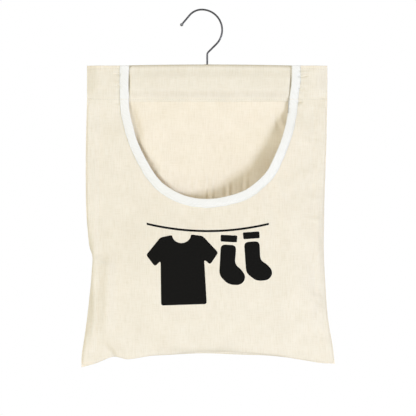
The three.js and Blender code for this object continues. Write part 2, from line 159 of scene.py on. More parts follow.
# Cloth and tape.
CLOTH = 0.55 * MM
TAPE = 0.4 * MM

# Flat cut of the pouch below the stitch line: half widths at its top and bottom, and its length.
CUT_TOP_HALF = 150 * MM
CUT_LOW_HALF = 159 * MM
CUT_LENGTH = 336 * MM
HEM_DROP = 2.6 * MM
TOP_ARCH = 2.5 * MM
SEAM_INSET = 4 * MM

# Outline of the hung pouch in millimetres: side seams by height, and heights of the bottom seam.
LEFT_SEAM = (
    (-110, -150), (-150, -151.3), (-215, -151.8), (-245, -151.3), (-275, -149), (-298, -145.8),
    (-308.5, -141.8), (-320, -142.6), (-345, -145.7), (-390, -150.8), (-412, -154), (-432, -157),
    (-445, -157.2),
)
RIGHT_SEAM = (
    (-110, 150), (-173, 148.7), (-255, 146), (-305, 145.7), (-348, 148.2), (-391, 151.8), (-417, 156.6),
    (-440.5, 159.4),
)
BOTTOM_SEAM = (
    (-157.2, -445), (-139, -440), (-120, -432), (-89, -431), (-59, -429.7), (-9, -427.4), (41, -429),
    (90, -431), (121, -436), (141, -439.4), (159.4, -440.5),
)

# Mouth: places (x, z) in millimetres along its edge as seen from the front, from strap to strap.
MOUTH_EDGE = (
    (-97.6, -68), (-98.1, -90), (-98, -110), (-97, -124), (-93.7, -141), (-76.4, -186), (-54, -216),
    (-30, -230), (-2, -234.6), (28, -230.6), (49, -222.6), (68.5, -206.8), (85, -178.5), (96.3, -148.5),
    (102.3, -120), (103.3, -106), (105, -86), (105.2, -68),
)
MOUTH_LOW_Z = min(z for x, z in MOUTH_EDGE) * MM


# The mouth's edge by height.

def mouth_side(sign):
    """Place of the mouth's left or right edge as a function of the height."""
    lowest = min(range(len(MOUTH_EDGE)), key=lambda i: MOUTH_EDGE[i][1])
    side = MOUTH_EDGE[:lowest + 1] if sign < 0 else MOUTH_EDGE[lowest:]
    return curve_through([(z, x) for x, z in side])


mouth_left, mouth_right = mouth_side(-1), mouth_side(1)


def inside_mouth(x, z):
    """Distance of a place from the nearer side of the mouth at its height, negative outside the mouth."""
    return np.minimum(x - mouth_left(z), mouth_right(z) - x)


# The casing round the bar: depths of a cloth layer's middle from the bag's middle plane.
BAR_PLAY = 0.3 * MM
WRAP_DEPTH = BAR_HIGH.y + BAR_PLAY + CLOTH / 2
SEAM_DEPTH = 0.6 * MM
STITCHED_DEPTH = 0.34 * MM
STITCHED_TO_SEAM_X = mm(120, 138)
BAR_END_ROUND = 4 * MM
BAR_END_POWER = 1.4
CASING_PUFF = 2.6 * MM
PUFF_ROWS = (0, 0.3, 0.65, 1)
PUFF_EDGE = mm(0.8, 2.8)
STRAP_LIFT = 1.45 * MM
STRAP_EDGE_LIFT = 0.8 * MM
STRAP_EDGE_X = 136 * MM
STRAP_GAPE = 0.9 * MM
STRAP_GAPE_REACH = 24 * MM


def top_z(x):
    return TOP_Z - TOP_ARCH * (x / CUT_TOP_HALF) ** 2


def casing_depth(x, z):
    """Depth of a casing layer's middle either side of the bag's middle plane."""
    closed = blend(SEAM_DEPTH, STITCHED_DEPTH, 1 - smoothstep(np.abs(x), *STITCHED_TO_SEAM_X))
    past_bar = share_between(np.abs(x), BAR_HIGH.x - BAR_END_ROUND, CUT_TOP_HALF)
    beside_bar = smoothstep(z, STITCH_Z, BAR_LOW.z)
    return closed + (WRAP_DEPTH - closed) * (1 - past_bar ** BAR_END_POWER) * beside_bar


def casing_puff(x, z):
    """How far the casing's front stands out between the straps, which press it down at their edges."""
    high = share_between(z, STITCH_Z, top_z(x) - WRAP_DEPTH)
    return CASING_PUFF * smoothstep(inside_mouth(x, z), *PUFF_EDGE) * between(high, *PUFF_ROWS)


def strap_depth(x, z):
    """Depth of the front panel's straps, which lie over the casing with tape between."""
    lift = blend(STRAP_LIFT, STRAP_EDGE_LIFT, smoothstep(np.abs(x), STRAP_EDGE_X, CUT_TOP_HALF))
    high = share_between(z, STITCH_Z, top_z(x) - SEAM_INSET)
    near_mouth = 1 - smoothstep(-inside_mouth(x, z), 0, STRAP_GAPE_REACH)
    return casing_depth(x, z) + lift + STRAP_GAPE * np.sin(np.pi * high) ** 2 * near_mouth


# The cloth simulation: its grid, the flat cut's slack, how it is drawn and pushed, and the cloth's nature.
GRID_COLUMNS = 65
GRID_ROWS = 69
GRID_DOWN = np.linspace(0, 1, GRID_ROWS)[:, None]
GRID_ACROSS = np.linspace(-1, 1, GRID_COLUMNS)[None, :]
SEWN = (np.abs(GRID_ACROSS) == 1) | (GRID_DOWN == 1)
SLACK = 1.8 * MM
SLACK_UNEVEN = 0.4 * MM
SLACK_RISE = 8
BACK_SLACK_SHARE = 0.7
BACK_BELLY = 28 * MM
FRONT_BELLY = -36 * MM
BELLY_RISE = 1.2
BELLY_FALL = 4
WAVE_PASSES = 12
SEAM_WAVE = 1.2 * MM
SEAM_WAVE_PASSES = 30
SIM_SCALE = 10
SIM_FRAMES = 45
SIM_DRAWN_FRAME = 25
SIM_GRAVITY = 0.3
SIM_MOUTH_MARGIN = 6 * MM
SIM_MOUTH_POWER = 1.9
TOP_PUSH = 0.3
PUSH_ROWS = (0.05, 0.45)
GAP_PASSES = 600
CLOTH_SETTINGS = {
    "quality": 6,
    "mass": 0.05,
    "tension_stiffness": 40,
    "compression_stiffness": 40,
    "shear_stiffness": 15,
    "bending_stiffness": 1,
    "tension_damping": 10,
    "compression_damping": 10,
    "shear_damping": 10,
    "bending_damping": 1,
    "air_damping": 4,
    "vertex_group_mass": "held",
    "use_pressure": True,
    "uniform_pressure_force": 1.2,
    "vertex_group_pressure": "pushed",
}


def cut_half(drop):
    """Half width of the flat cut at a distance below the stitch line."""
    return blend(CUT_TOP_HALF, CUT_LOW_HALF, share_between(drop, 0, CUT_LENGTH) ** 2)


def in_mouth(x, z, margin):
    """Whether places of the flat cut are in the mouth, by a margin."""
    left, right = mouth_left(STITCH_Z) + margin, mouth_right(STITCH_Z) - margin
    across = np.abs(2 * x - left - right) / (right - left)
    down = np.clip(STITCH_Z - z, 0, None) / (STITCH_Z - MOUTH_LOW_Z - margin)
    return across ** SIM_MOUTH_POWER + down ** SIM_MOUTH_POWER < 1


def flat_pouch():
    """Both panels as cut and laid on each other, back first, with a little uneven slack between the seams."""
    drop = GRID_DOWN * CUT_LENGTH
    x, z = GRID_ACROSS * cut_half(drop), STITCH_Z - drop
    from_edge = np.minimum(1 - np.abs(GRID_ACROSS), 1 - GRID_DOWN)
    slack = SLACK + SLACK_UNEVEN * bumps(SEWN.shape, WAVE_PASSES)
    slack = slack * np.clip(from_edge * SLACK_RISE, 0, 1)
    return columns(x, BACK_SLACK_SHARE * slack, z), columns(x, -slack, z)


def hung_grid(belly):
    """A panel with its seams on the hung outline, bellied out by some depth."""
    left, right = (
        curve_through(seam)(blend(STITCH_Z, min(seam)[0] * MM, GRID_DOWN))
        for seam in (LEFT_SEAM, RIGHT_SEAM)
    )
    x = blend(left, right, (GRID_ACROSS + 1) / 2)
    z = blend(STITCH_Z, curve_through(BOTTOM_SEAM)(x[-1]), GRID_DOWN)
    rise = GRID_DOWN ** BELLY_RISE * (1 - GRID_DOWN ** BELLY_FALL)
    return columns(x, belly * rise / rise.max() * (1 - GRID_ACROSS ** 2), z)


def hung_pouch():
    """Both panels drawn in to the hung outline, back first, before the cloth has settled."""
    back, front = hung_grid(BACK_BELLY), hung_grid(FRONT_BELLY)
    back[0, :, 1] = casing_depth(back[0, :, 0], STITCH_Z)
    front[0, :, 1] = -strap_depth(front[0, :, 0], STITCH_Z)
    back[SEWN, 1] = SEAM_WAVE * bumps(SEWN.shape, SEAM_WAVE_PASSES)[SEWN]
    return back, front


def pouch_cloth(flat, hung, cells):
    """The sewn pouch as a mesh that a shape key draws from its flat cut to its hung outline."""
    mesh = bpy.data.meshes.new("pouch_cloth")
    mesh.from_pydata(flat.tolist(), [], cells.tolist())
    pouch = put("pouch_cloth", mesh)
    pouch.shape_key_add(name="flat")
    drawn = pouch.shape_key_add(name="hung")
    drawn.data.foreach_set("co", hung.ravel())
    for value, at_frame in ((0, 1), (1, SIM_DRAWN_FRAME)):
        drawn.value = value
        drawn.keyframe_insert("value", frame=at_frame)
    return pouch


def group_points(pouch, is_held, row_of):
    """Marks the points that the seams and the casing hold, and how hard each row is pushed out."""
    held = pouch.vertex_groups.new(name="held")
    held.add(np.flatnonzero(is_held).tolist(), 1, "REPLACE")
    pushed = pouch.vertex_groups.new(name="pushed")
    push = blend(TOP_PUSH, 1, smoothstep(GRID_DOWN[:, 0], *PUSH_ROWS))
    for row in range(GRID_ROWS):
        pushed.add(np.flatnonzero(row_of == row).tolist(), float(push[row]), "REPLACE")


def settle(pouch):
    """Runs the cloth, takes it out of the scene and returns the places that its points came to."""
    modifier = pouch.modifiers.new("cloth", "CLOTH")
    for setting, value in CLOTH_SETTINGS.items():
        setattr(modifier.settings, setting, value)
    modifier.settings.effector_weights.gravity = SIM_GRAVITY
    modifier.collision_settings.use_collision = False
    modifier.point_cache.frame_end = SIM_FRAMES
    scene = bpy.context.scene
    for at_frame in range(1, SIM_FRAMES + 1):
        scene.frame_set(at_frame)
    points = pouch.evaluated_get(bpy.context.evaluated_depsgraph_get()).data.vertices
    places = np.empty(len(points) * 3)
    points.foreach_get("co", places)
    mesh = pouch.data
    action = mesh.shape_keys.animation_data.action
    bpy.data.objects.remove(pouch)
    bpy.data.meshes.remove(mesh)
    bpy.data.actions.remove(action)
    scene.frame_set(1)
    return places.reshape(-1, 3)


def fill_gaps(grid):
    """Spreads the edge of a hole in a grid across the hole."""
    hole = np.isnan(grid[..., 0])
    grid[hole] = np.nanmean(grid[~hole], axis=0)
    for _ in range(GAP_PASSES):
        mean = sum(np.roll(grid, step, axis) for step in (1, -1) for axis in (0, 1)) / 4
        grid[hole] = mean[hole]
    return grid


def hang_pouch():
    """Sews the flat panels together, draws them in to the hung outline and lets the cloth belly out."""
    flat_panels, hung_panels = flat_pouch(), hung_pouch()
    back_index = np.arange(SEWN.size).reshape(SEWN.shape)
    front_index = np.where(SEWN, back_index, back_index + SEWN.size)
    middle = (flat_panels[0][:-1, :-1] + flat_panels[0][1:, 1:]) / 2
    around_mouth = ~in_mouth(middle[..., 0], middle[..., 2], SIM_MOUTH_MARGIN)
    cells = np.concatenate([corners(back_index).reshape(-1, 4), corners(front_index)[around_mouth][:, ::-1]])
    used, cells = np.unique(cells, return_inverse=True)
    flat, hung = (np.reshape(panels, (-1, 3))[used] * SIM_SCALE for panels in (flat_panels, hung_panels))
    pouch = pouch_cloth(flat, hung, cells.reshape(-1, 4))
    is_held = np.isin(used, np.concatenate([back_index[0], front_index[0], back_index[SEWN]]))
    group_points(pouch, is_held, (used % SEWN.size) // GRID_COLUMNS)
    places = np.full((2 * SEWN.size, 3), np.nan)
    places[used] = settle(pouch) / SIM_SCALE
    return fill_gaps(places[front_index]), places[back_index]


# What is done to the hung panels: they are pressed flatter, smoothed and given slight waves.
FRONT_PRESSED = 22 * MM
BACK_PRESSED = 11 * MM
MOUTH_LEAN = 0.72
LEAN_ROWS = (0, 0.08, 0.4, 0.65)
LEAN_X = mm(-110, 60)
RIGHT_LEAN = 0.5
RIGHT_LEAN_ROWS = (0, 0.04, 0.04, 0.24)
RIGHT_LEAN_X = mm(40, 80)
LOW_TAPER = 12
SMOOTHING_PASSES = 2
WAVE_HEIGHT = 0.4 * MM
WAVE_EDGE = 0.1


def pressed(grid, limit):
    """Flattens a panel's belly, as on a bag that was packed flat, most at the mouth's left side."""
    lean = MOUTH_LEAN * between(GRID_DOWN, *LEAN_ROWS) * (1 - smoothstep(grid[..., 0], *LEAN_X))
    lean += RIGHT_LEAN * between(GRID_DOWN, *RIGHT_LEAN_ROWS) * smoothstep(grid[..., 0], *RIGHT_LEAN_X)
    grid[..., 1] = limit * np.tanh(grid[..., 1] / limit) * (1 - lean) * (1 - GRID_DOWN ** LOW_TAPER)
    return grid


def smoothed(grid, passes):
    """A grid with its finest ripples taken out; its border stays."""
    for _ in range(passes):
        for axis in (0, 1):
            mean = (np.roll(grid, 1, axis) + 2 * grid + np.roll(grid, -1, axis)) / 4
            grid[1:-1, 1:-1] = mean[1:-1, 1:-1]
    return grid


def undulated(grid):
    """Adds the slight hollows and swells of cloth that isn't ironed; the border stays."""
    from_edge = np.minimum(1 - np.abs(GRID_ACROSS), np.minimum(GRID_DOWN, 1 - GRID_DOWN))
    grid[..., 1] += WAVE_HEIGHT * bumps(grid.shape[:2], WAVE_PASSES) * smoothstep(from_edge, 0, WAVE_EDGE)
    return grid


class Panel:
    """A hung panel below the stitch line, as places over its flat cut."""

    def __init__(self, grid):
        wide = np.concatenate([2 * grid[:, :1] - grid[:, 1:2], grid, 2 * grid[:, -1:] - grid[:, -2:-1]], 1)
        self.grid = np.concatenate([2 * wide[:1] - wide[1:2], wide, 2 * wide[-1:] - wide[-2:-1]], 0)

    def at(self, across, down):
        """Places at shares of the half width and of the length, by cubic interpolation."""
        row = np.clip(down, 0, 1) * (GRID_ROWS - 1)
        column = (np.clip(across, -1, 1) + 1) / 2 * (GRID_COLUMNS - 1)
        r = np.minimum(row.astype(int), GRID_ROWS - 2)
        c = np.minimum(column.astype(int), GRID_COLUMNS - 2)
        row_weights, column_weights = self.weights(row - r), self.weights(column - c)
        return sum(
            (row_weights[i] * column_weights[j])[..., None] * self.grid[r + i, c + j]
            for i in range(4)
            for j in range(4)
        )

    @staticmethod
    def weights(t):
        """Shares of four neighbours in a value between the middle two."""
        return (
            -0.5 * t ** 3 + t ** 2 - 0.5 * t,
            1.5 * t ** 3 - 2.5 * t ** 2 + 1,
            -1.5 * t ** 3 + 2 * t ** 2 + 0.5 * t,
            0.5 * t ** 3 - 0.5 * t ** 2,
        )


front_grid, back_grid = hang_pouch()
front_grid, back_grid = pressed(front_grid, FRONT_PRESSED), pressed(back_grid, BACK_PRESSED)
front_panel = Panel(undulated(smoothed(front_grid, SMOOTHING_PASSES)))
back_panel = Panel(undulated(smoothed(back_grid, SMOOTHING_PASSES)))

# Folds as two ends (x, z), a width and a height in millimetres, low ones as negative heights.
FRONT_FOLDS = (
    ((114, -81.4), (126, -80.6), 1.3, -3.2),
    ((116, -77.6), (134, -76), 2.2, 0.9),
    ((113, -97.6), (121, -97), 1.3, -2.8),
    ((116, -93), (130, -91), 2.4, 0.8),
    ((116, -103.5), (136, -103), 2.4, 0.6),
    ((112, -113.6), (119, -113.6), 1.3, -2.6),
    ((116, -118), (132, -120), 2.4, 0.8),
    ((-108, -79), (-118, -79), 1.3, -1.4),
    ((-108, -94), (-115, -93.5), 1.3, -1.3),
    ((-109, -90), (-124, -88), 2.4, 0.6),
    ((-108, -114), (-116, -115), 1.3, -1.3),
    ((-109, -119), (-126, -121), 2.4, 0.7),
    ((146, -165), (118, -163), 2.6, 1.4),
    ((146, -236), (124, -233), 2, 1.2),
    ((144, -261), (122, -259), 2.4, 1.3),
    ((147, -360), (122, -352), 2.4, 1.2),
    ((148, -371), (130, -366), 2.2, 1),
    ((-141, -309), (-116, -318), 3.5, 1.6),
    ((-123, -316), (-126, -408), 7, 2.8),
    ((70, -205), (90, -290), 9, -1.8),
    ((-60, -262), (-40, -330), 16, 1),
    ((30, -395), (95, -385), 12, 1),
)
BACK_FOLDS = (
    ((84, -132), (93, -150), 2.4, -1.6),
    ((90, -130), (98, -146), 2.4, 1.2),
    ((60, -128), (88, -140), 7, 1),
    ((-84, -156), (-95, -118), 4, -3.4),
    ((-61, -198), (-72, -184), 3, -2.6),
    ((-40, -122), (20, -126), 7, 0.7),
    ((-70, -170), (30, -150), 14, -0.8),
)
FOLD_ENDS = (-0.25, 0.15, 0.55, 1.2)

# Lip of the front that hangs over the bottom seam beside the flat left ear, from a crease in millimetres.
LIP_CREASE = ((-128, -416), (-113, -434))
LIP_DEPTH = 2.2 * MM
LIP_DROP = 3.8 * MM
LIP_BEGUN = mm(-6, 10)
LIP_FULL = mm(-0.5, 5)
LIP_HANGING = mm(-1, 14)
LIP_FADING = mm(10, 42)
LIP_UNDER_ROWS = (0.9, 0.985, 0.985, 1)
LIP_END_ROWS = (0.99, 1)
LIP_VALLEY = 1.9 * MM
LIP_VALLEY_WIDTH = 2 * MM

# Gathers of the back behind the lowest part of the mouth.
GATHER_HEIGHT = 0.4 * MM
GATHER_WAVES = mm(1.15, 1.7)
GATHER_Z = mm(-262, -236, -228, -196)
GATHER_X = mm(-50, -10, 60, 85)

# Swell of the back beside the mouth's left edge: how far it stands forward high up and low down, and where.
SWELL_HIGH = 2.2 * MM
SWELL_LOW = 3.4 * MM
SWELL_HIGH_TO_LOW = mm(130, 195)
SWELL_UNDER = 2.2 * MM
SWELL_UNDER_FROM = mm(-36, -6)
SWELL_RISING = mm(-3, 9)
SWELL_FALLING = mm(12, 42)
SWELL_END_X = mm(-65, -15)
SWELL_TOP = mm(2, 14)

# Seams: how near a place counts as being at one, and what the allowance inside does to the panels.
SIDE_SEAM_SHARE = (0.92, 1)
LOW_SEAM_SHARE = (0.96, 1)
ALLOWANCE_LIFT = 1.3 * MM
BACK_ALLOWANCE_LIFT = 0.7 * MM
ALLOWANCE_BAND = mm(0, 3, 10, 18)
ALLOWANCE_TOP = 12 * MM
SEAM_GROOVE = 0.5 * MM
SEAM_GROOVE_INSET = 1.3 * MM
SEAM_GROOVE_WIDTH = 0.45 * MM
STRAP_EDGE_FADE = 30 * MM
FLAT_PASSES = 14


def seam_share(across, down):
    """How near a place is to the seams, from 0 to 1."""
    return np.maximum(smoothstep(np.abs(across), *SIDE_SEAM_SHARE), smoothstep(down, *LOW_SEAM_SHARE))


def folds(x, z, lines):
    """Height of the folds at places on a panel, towards the viewer."""
    height = np.zeros(np.shape(x))
    for start, end, width, rise in lines:
        start, run = np.array(start) * MM, np.subtract(end, start) * MM
        length = np.linalg.norm(run)
        along = ((x - start[0]) * run[0] + (z - start[1]) * run[1]) / length ** 2
        aside = ((x - start[0]) * run[1] - (z - start[1]) * run[0]) / length
        height += rise * MM * np.exp(-(aside / (width * MM)) ** 2) * between(along, *FOLD_ENDS)
    return height


def lip(x, z, down):
    """How far the lip stands out and how far it hangs down, at places on the front."""
    start, end = (np.array(place) * MM for place in LIP_CREASE)
    run = unit(end - start)
    along = (x - start[0]) * run[0] + (z - start[1]) * run[1]
    beside = (z - start[1]) * run[0] - (x - start[0]) * run[1]
    begun = smoothstep(along, *LIP_BEGUN)
    out = LIP_DEPTH * between(beside, *LIP_FULL, *LIP_FADING)
    out -= LIP_VALLEY * np.exp(-(beside / LIP_VALLEY_WIDTH) ** 2)
    lower = LIP_DROP * between(beside, *LIP_HANGING, *LIP_FADING) * between(down, *LIP_UNDER_ROWS)
    return out * begun * (1 - smoothstep(down, *LIP_END_ROWS)), lower * begun


def gathers(x, z):
    """Small upright gathers of the back panel behind the lowest part of the mouth."""
    fine, coarse = (x / wave for wave in GATHER_WAVES)
    return GATHER_HEIGHT * (np.sin(fine) + np.sin(coarse + 1)) * between(z, *GATHER_Z) * between(x, *GATHER_X)


def swell(x, z):
    """How far the back stands forward beside the mouth's left edge, past a groove under the edge."""
    across = inside_mouth(x, z)
    above = np.clip(z - MOUTH_LOW_Z, 0, None)
    from_edge = across * above / np.hypot(across, above + 1e-9)
    height = blend(SWELL_HIGH, SWELL_LOW, smoothstep(-z, *SWELL_HIGH_TO_LOW))
    out = height * between(from_edge, *SWELL_RISING, *SWELL_FALLING)
    out -= SWELL_UNDER * between(from_edge, *SWELL_UNDER_FROM, *SWELL_RISING)
    return out * (1 - smoothstep(x, *SWELL_END_X)) * smoothstep(STITCH_Z - z, *SWELL_TOP)


def over_allowance(a, drop, lift, groove):
    """How far the seam allowance inside lifts a panel, with a crease along the seam itself."""
    from_seam = np.minimum(cut_half(drop) - np.abs(a), CUT_LENGTH - drop)
    crease = np.exp(-((from_seam - SEAM_GROOVE_INSET) / SEAM_GROOVE_WIDTH) ** 2)
    return (lift * between(from_seam, *ALLOWANCE_BAND) - groove * crease) * smoothstep(drop, 0, ALLOWANCE_TOP)


def front_place(a, drop):
    """Places of the front panel's middle at flat distances from the centre line and below the stitch line."""
    across, down = a / cut_half(drop), drop / CUT_LENGTH
    hung = front_panel.at(across, down)
    strap_side = STRAP_EDGE_LIFT * (1 - smoothstep(drop, 0, STRAP_EDGE_FADE))
    hung[..., 1] -= seam_share(across, down) * (SEAM_DEPTH + strap_side)
    hung[..., 1] -= over_allowance(a, drop, ALLOWANCE_LIFT, SEAM_GROOVE)
    z = STITCH_Z - drop
    strap = columns(a, -strap_depth(a, z), z)
    place = np.where((drop < 0)[..., None], strap, hung)
    out, lower = lip(place[..., 0], place[..., 2], down)
    creased = folds(place[..., 0], place[..., 2], FRONT_FOLDS) * (1 - seam_share(across, down))
    place[..., 1] -= creased + out
    place[..., 2] -= lower
    return place


def back_place(a, drop):
    """Places of the back panel's middle at flat distances from the centre line and below the stitch line."""
    across, down = a / cut_half(drop), drop / CUT_LENGTH
    hung = back_panel.at(across, down)
    x, z = hung[..., 0], hung[..., 2]
    hung[..., 1] += seam_share(across, down) * SEAM_DEPTH + gathers(x, z)
    hung[..., 1] += over_allowance(a, drop, BACK_ALLOWANCE_LIFT, 0)
    hung[..., 1] -= folds(x, z, BACK_FOLDS) + swell(x, z)
    return hung


def front_point(a, drop, height):
    """Places lifted off the front panel's middle by a height, towards the viewer."""
    step = 0.5 * MM
    across = front_place(a + step, drop) - front_place(a - step, drop)
    along = front_place(a, drop + step) - front_place(a, drop - step)
    return front_place(a, drop) + unit(np.cross(along, across)) * np.asarray(height)[..., None]


def flat_under(x, z):
    """Flat distances of the places on the front panel that hang at x and z."""
    a, drop = np.array(x, float), STITCH_Z - np.array(z, float)
    for _ in range(FLAT_PASSES):
        place = front_place(a, drop)
        a += x - place[..., 0]
        drop += place[..., 2] - z
    return a, drop


# Meshes.

def piece(name, mesh, material, body="bag", replaces=()):
    """Puts a finished mesh in the scene as a named piece on a body."""
    mesh.name = name
    mesh.polygons.foreach_set("use_smooth", np.ones(len(mesh.polygons), bool))
    mesh.materials.append(material)
    thing = put(name, mesh)
    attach(thing, body)
    if replaces:
        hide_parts(*replaces)
    return thing


def mesh_of(places, faces, uv):
    """A mesh with flat coordinates for the materials."""
    mesh = bpy.data.meshes.new("mesh")
    mesh.from_pydata(places.reshape(-1, 3).tolist(), [], [tuple(face) for face in faces])
    layer = mesh.uv_layers.new(name="cloth")
    corner = np.empty(len(mesh.loops), np.int32)
    mesh.loops.foreach_get("vertex_index", corner)
    layer.data.foreach_set("uv", uv.reshape(-1, 2)[corner].astype(np.float32).ravel())
    return mesh


def grid_mesh(places, uv, keep=None):
    """A sheet through a grid of places, with its flat coordinates, without the cells that keep leaves out."""
    cells = corners(np.arange(places.shape[0] * places.shape[1]).reshape(places.shape[:2]))
    cells = cells.reshape(-1, 4) if keep is None else cells[keep]
    return mesh_of(places, cells.tolist(), uv)


def thicken(thing, thickness):
    modifier = thing.modifiers.new("thickness", "SOLIDIFY")
    modifier.thickness = thickness
    modifier.offset = 0
    return thing


ANY_SIDE = (0.31, 0.87, 0.38)


def tube_mesh(path, radius, sides):
    """A closed round tube along a path of points, with its length and girth as flat coordinates."""
    tangents = unit(np.gradient(path, axis=0))
    normal = unit(np.cross(tangents[0], ANY_SIDE))
    frames = []
    for tangent in tangents:
        normal = unit(normal - tangent * (normal @ tangent))
        frames.append((normal, np.cross(tangent, normal)))
    angle, ring = round_ring(sides, *np.array(frames).swapaxes(0, 1)[:, :, None])
    faces = tube_faces(np.arange(len(path) * sides).reshape(len(path), sides))
    return mesh_of(path[:, None] + radius * ring, faces, columns(lengths_along(path)[:, None], angle))


# Sewing thread. A stitch is raised in its middle and dips and thins at its ends, by shares of its radius.
THREAD_RADIUS = 0.26 * MM
STITCH_PITCH = 2.9 * MM
STITCH_LENGTH = 2.3 * MM
STITCH_RAISED = 0.55
STITCH_DIP = 1.6
STITCH_THINNED = 0.6
STITCH_SIDES = 6
STITCH_RINGS = 7


def stitch_mesh(centres, directions, normals, length=STITCH_LENGTH, radius=THREAD_RADIUS):
    """Separate stitches, each a plump thread that dips into the cloth at both ends."""
    share = np.linspace(-1, 1, STITCH_RINGS)[:, None]
    centres, directions, normals = (values[:, None] for values in (centres, directions, normals))
    angle, ring = round_ring(STITCH_SIDES, unit(np.cross(directions, normals)), normals)
    height = radius * (STITCH_RAISED - STITCH_DIP * share ** 4)
    girth = radius * np.sqrt(1 - STITCH_THINNED * share ** 6)
    spine = centres + directions * share * length / 2 + normals * height
    places = spine[:, :, None] + ring[:, None] * girth[:, None]
    faces = []
    for stitch in np.arange(places[..., 0].size).reshape(places.shape[:3]):
        faces += tube_faces(stitch)
    uv = columns(share * length / 2, angle * radius)
    return mesh_of(places, faces, np.broadcast_to(uv, (len(places), *uv.shape)))


def stitches_on(line, normals):
    """Stitches at an even pitch along a line on the cloth, with the cloth's outward normal or normals."""
    total = lengths_along(line)[-1]
    count = int(total // STITCH_PITCH)
    centres = (np.arange(count) + 0.5) * total / count
    before, after = (at_distances(line, centres + step)[0] for step in mm(-0.5, 0.5))
    place, normal = at_distances(line, centres, np.broadcast_to(normals, line.shape))
    return stitch_mesh(place, unit(after - before), unit(normal))


# Materials. Scales are per millimetre of cloth unless a material uses the object's own coordinates.

class Graph:
    """A node tree with short ways to add nodes to it."""

    def __init__(self, owner):
        owner.use_nodes = True
        self.tree = owner.node_tree

    def link(self, value, socket):
        self.tree.links.new(value, socket)

    def node(self, kind, inputs=(), output=0, **settings):
        made = self.tree.nodes.new("ShaderNode" + kind)
        for setting, value in settings.items():
            setattr(made, setting, value)
        for socket, value in dict(inputs).items():
            if isinstance(value, bpy.types.NodeSocket):
                self.link(value, made.inputs[socket])
            else:
                made.inputs[socket].default_value = value
        return made.outputs[output]

    def math(self, operation, *values, **settings):
        return self.node("Math", enumerate(values), operation=operation, **settings)

    def mix(self, share, first, second, blend="MIX"):
        return self.node("Mix", {0: share, 6: first, 7: second}, 2, data_type="RGBA", blend_type=blend)


class Shader(Graph):
    """A node material that ends in a Principled shader."""

    def __init__(self, name, **constants):
        self.material = bpy.data.materials.new(name)
        super().__init__(self.material)
        self.surface = self.tree.nodes["Principled BSDF"]
        for socket, value in constants.items():
            name = socket.replace("_", " ").title().replace("Ior", "IOR")
            self.surface.inputs[name].default_value = value

    def set(self, socket, value):
        self.link(value, self.surface.inputs[socket])

    def millimetres(self, turn=0):
        """Flat coordinates of the cloth in millimetres, turned by an angle."""
        scaled = self.stretched(self.node("UVMap", uv_map="cloth"), 1 / MM, 1 / MM, 1 / MM)
        return self.node("VectorRotate", {"Vector": scaled, "Angle": turn}, rotation_type="Z_AXIS")

    def stretched(self, vector, x, y, z=1):
        return self.node("VectorMath", {0: vector, 1: (x, y, z)}, operation="MULTIPLY")

    def noise(self, vector, scale, detail=2, roughness=0.5):
        inputs = {"Vector": vector, "Scale": scale, "Detail": detail, "Roughness": roughness}
        return self.node("TexNoise", inputs, noise_dimensions="2D")

    def grain(self, detail, stretch, distortion=0):
        """Noise in three directions, for things without flat coordinates, at scales along x, y and z."""
        place = self.stretched(self.node("TexCoord", output="Object"), *stretch)
        inputs = {"Vector": place, "Scale": 1, "Detail": detail, "Distortion": distortion}
        return self.node("TexNoise", inputs)

    def weave(self, vector, pitch):
        """Height of a plain weave: threads that pass over and under each other."""
        x, y = (self.node("SeparateXYZ", {0: vector}, axis) for axis in (0, 1))
        warp, weft = (self.math("SINE", self.math("MULTIPLY", axis, math.pi / pitch)) for axis in (x, y))
        over = self.math("MULTIPLY_ADD", self.math("MULTIPLY", warp, weft), 0.5, 0.5)
        crown = self.math("MULTIPLY", self.math("ABSOLUTE", warp), over)
        under = self.math("SUBTRACT", 1.0, over)
        return self.math("MULTIPLY_ADD", self.math("ABSOLUTE", weft), under, crown)

    def ramp(self, value, *stops):
        """A colour between stops, each a position and a colour or a grey."""
        output = self.node("ValToRGB", {0: value})
        elements = output.node.color_ramp.elements
        while len(elements) < len(stops):
            elements.new(0.5)
        for element, (position, colour) in zip(elements, stops):
            element.position = position
            element.color = (*np.broadcast_to(colour, 3), 1)
        return output

    def finished(self, colour, height, strength, distance):
        """The material with its colour, and with relief that is some distance deep in millimetres."""
        relief = {"Height": height, "Strength": strength, "Distance": distance * MM}
        self.set("Base Color", colour)
        self.set("Normal", self.node("Bump", relief))
        return self.material

    def let_through(self, share, colour):
        """Lets a share of the light pass through the cloth, tinted by its fibres."""
        through = self.node("BsdfTranslucent", {"Color": (*colour, 1)})
        both = self.node("MixShader", {0: share, 1: self.surface.outputs[0], 2: through})
        self.link(both, self.tree.nodes["Material Output"].inputs["Surface"])


CALICO_PITCH = 0.62
TAPE_PITCH = 0.4


